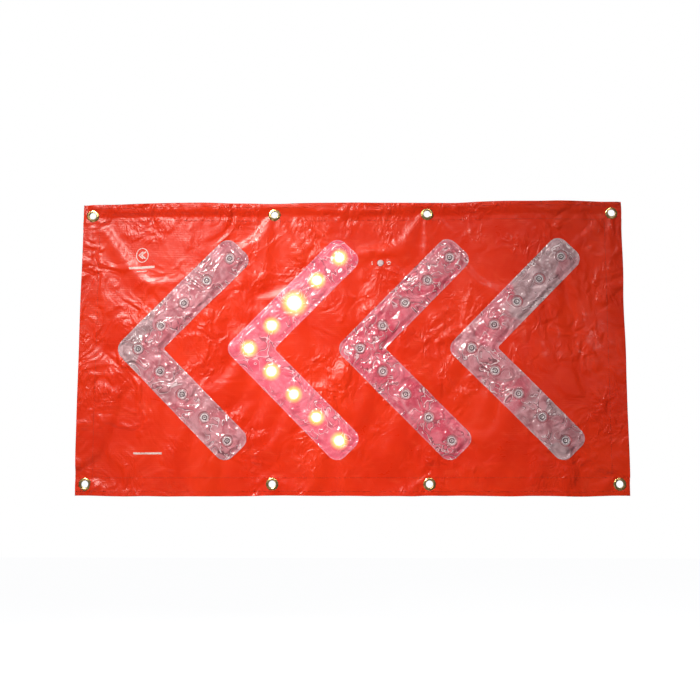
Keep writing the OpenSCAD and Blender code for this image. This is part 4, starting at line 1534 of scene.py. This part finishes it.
# plated metal: a base colour, a darker tarnish in soft patches and fine scratches
def metalPaint(colour, tarnish, rough):
    def paint(wire):
        place = wire.place()
        patch = place.noise(0.006, 4, 0.6, 0.4)
        scratch = place.stretch(1, 1, 9).noise(0.0011, 4, 0.7)
        return {
            "Base Color": patch.ramp(0.42, 0.75).mix(colour, tarnish),
            "Metallic": 1 - patch.ramp(0.6, 0.9) * 0.25,
            "Roughness": scratch * 0.16 + patch * 0.12 + (rough - 0.12),
            "Normal": place.bump(scratch, 0.00004, 0.7),
        }
    return paint


# moulded plastic: fine texture, a little bloom and rubbed places
def mouldedPaint(colour, pale, rough, grain=0.0005, depth=0.00005):
    def paint(wire):
        place = wire.place()
        bloom = place.noise(0.02, 4, 0.6)
        pit = place.noise(grain, 3, 0.65)
        rub = place.noise(0.006, 5, 0.7, 0.6).ramp(0.62, 0.8)
        return {
            "Base Color": (bloom.ramp(0.35, 0.8) * 0.5 + rub * 0.4).mix(colour, pale),
            "Roughness": bloom * 0.12 + rub * 0.1 + (rough - 0.06),
            "Normal": place.bump(pit, depth, 0.8),
        }
    return paint


def boardPaint(wire):
    place = wire.place()
    tracks = place.cells(0.004, "DISTANCE_TO_EDGE").ramp(0.1, 0.06)
    sheen = place.noise(0.004, 3)
    return {
        "Base Color": tracks.mix((0.012, 0.11, 0.035), (0.035, 0.2, 0.07)),
        "Roughness": sheen * 0.15 + 0.25,
        "Normal": place.bump(tracks, 0.00006, 0.6),
    }


def cellPaint(wire):
    place = wire.place()
    band = abs(place.axes()[2] - 70 * mm).ramp(11 * mm, 11.4 * mm)
    wrap = place.noise(0.01, 4)
    return {
        "Base Color": band.mix((0.5, 0.36, 0.12), (0.03, 0.035, 0.045)),
        "Metallic": (1 - band) * 0.7,
        "Roughness": wrap * 0.15 + 0.22,
        "Normal": place.bump(wrap, 0.0001, 0.4),
    }


def eachChevron(node):
    return [f"{node}_{n}" for n in outlines]


# the finish of every piece that keeps its shape
finishes = {
    "brass": metalPaint((0.72, 0.50, 0.20), (0.42, 0.27, 0.09), 0.24),
    "steel": metalPaint((0.60, 0.60, 0.61), (0.38, 0.37, 0.36), 0.3),
    "darkPlastic": mouldedPaint((0.018, 0.018, 0.02), (0.06, 0.06, 0.064), 0.48),
    "gasketRubber": mouldedPaint((0.012, 0.012, 0.012), (0.04, 0.039, 0.038), 0.72, 0.0008, 0.00012),
    "buttonPlastic": mouldedPaint((0.72, 0.53, 0.54), (0.88, 0.76, 0.76), 0.3, 0.0006, 0.00003),
    "wireJacket": mouldedPaint((0.02, 0.02, 0.02), (0.07, 0.068, 0.066), 0.45, 0.0004, 0.00004),
    "boardLaminate": boardPaint,
    "cellJacket": cellPaint,
}
finishes = {name: finishOf(name, paint) for name, paint in finishes.items()}
wears = {
    "brass": ["eyelets_top", "eyelets_bottom", "washers_top", "washers_bottom"],
    "steel": ["button_spring", "flasher_screws", "cover_screws", "contact_plates", "contact_springs"],
    "darkPlastic": [
        "tact_switch", "board_parts", "flasher_case", "flasher_lid", "battery_case", "battery_cover",
        *eachChevron("led_rings"),
    ],
    "gasketRubber": ["case_gasket"],
    "buttonPlastic": ["on_off_button"],
    "wireJacket": ["trunk_lead", "battery_lead", *eachChevron("led_wires")],
    "boardLaminate": ["circuit_board", *eachChevron("led_boards")],
    "cellJacket": ["battery_cells"],
}
for name, nodes in wears.items():
    for node in nodes:
        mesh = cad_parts[node].data
        mesh.materials.clear()
        mesh.materials.append(finishes[name])
print("finishes assigned")

# the button's return spring, wound here
spring = {
    "turns": 3,
    "radius": 4.6 * mm,
    "wire": 0.3 * mm,
    "seat": 8.45 * mm,
    "travel": 1.5 * mm,
    "sides": 8,
    "steps": 36,
}


def makeSpring():
    low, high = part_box("button_spring")
    wire, sides, steps = spring["wire"], spring["sides"], spring["steps"]
    rings = spring["turns"] * steps
    start, end = low.y + wire, high.y - wire
    points = []
    for i in range(rings + 1):
        turn = 2 * math.pi * i / steps
        for k in range(sides):
            side = 2 * math.pi * k / sides
            r = spring["radius"] + wire * math.cos(side)
            y = start + (end - start) * i / rings + wire * math.sin(side)
            points.append((buttonPlace[0] + r * math.cos(turn), y, buttonPlace[1] + r * math.sin(turn)))
    faces = tubeFaces(rings + 1, sides)
    coil = piece("buttonSpring", points, faces, finishes["steel"], slot="steel")
    welded(coil)
    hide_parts("button_spring")
    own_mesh(coil)


makeSpring()

# the size of the whole

print("CAD box", [round(b - a, 4) for a, b in zip(cadLow, cadHigh)])
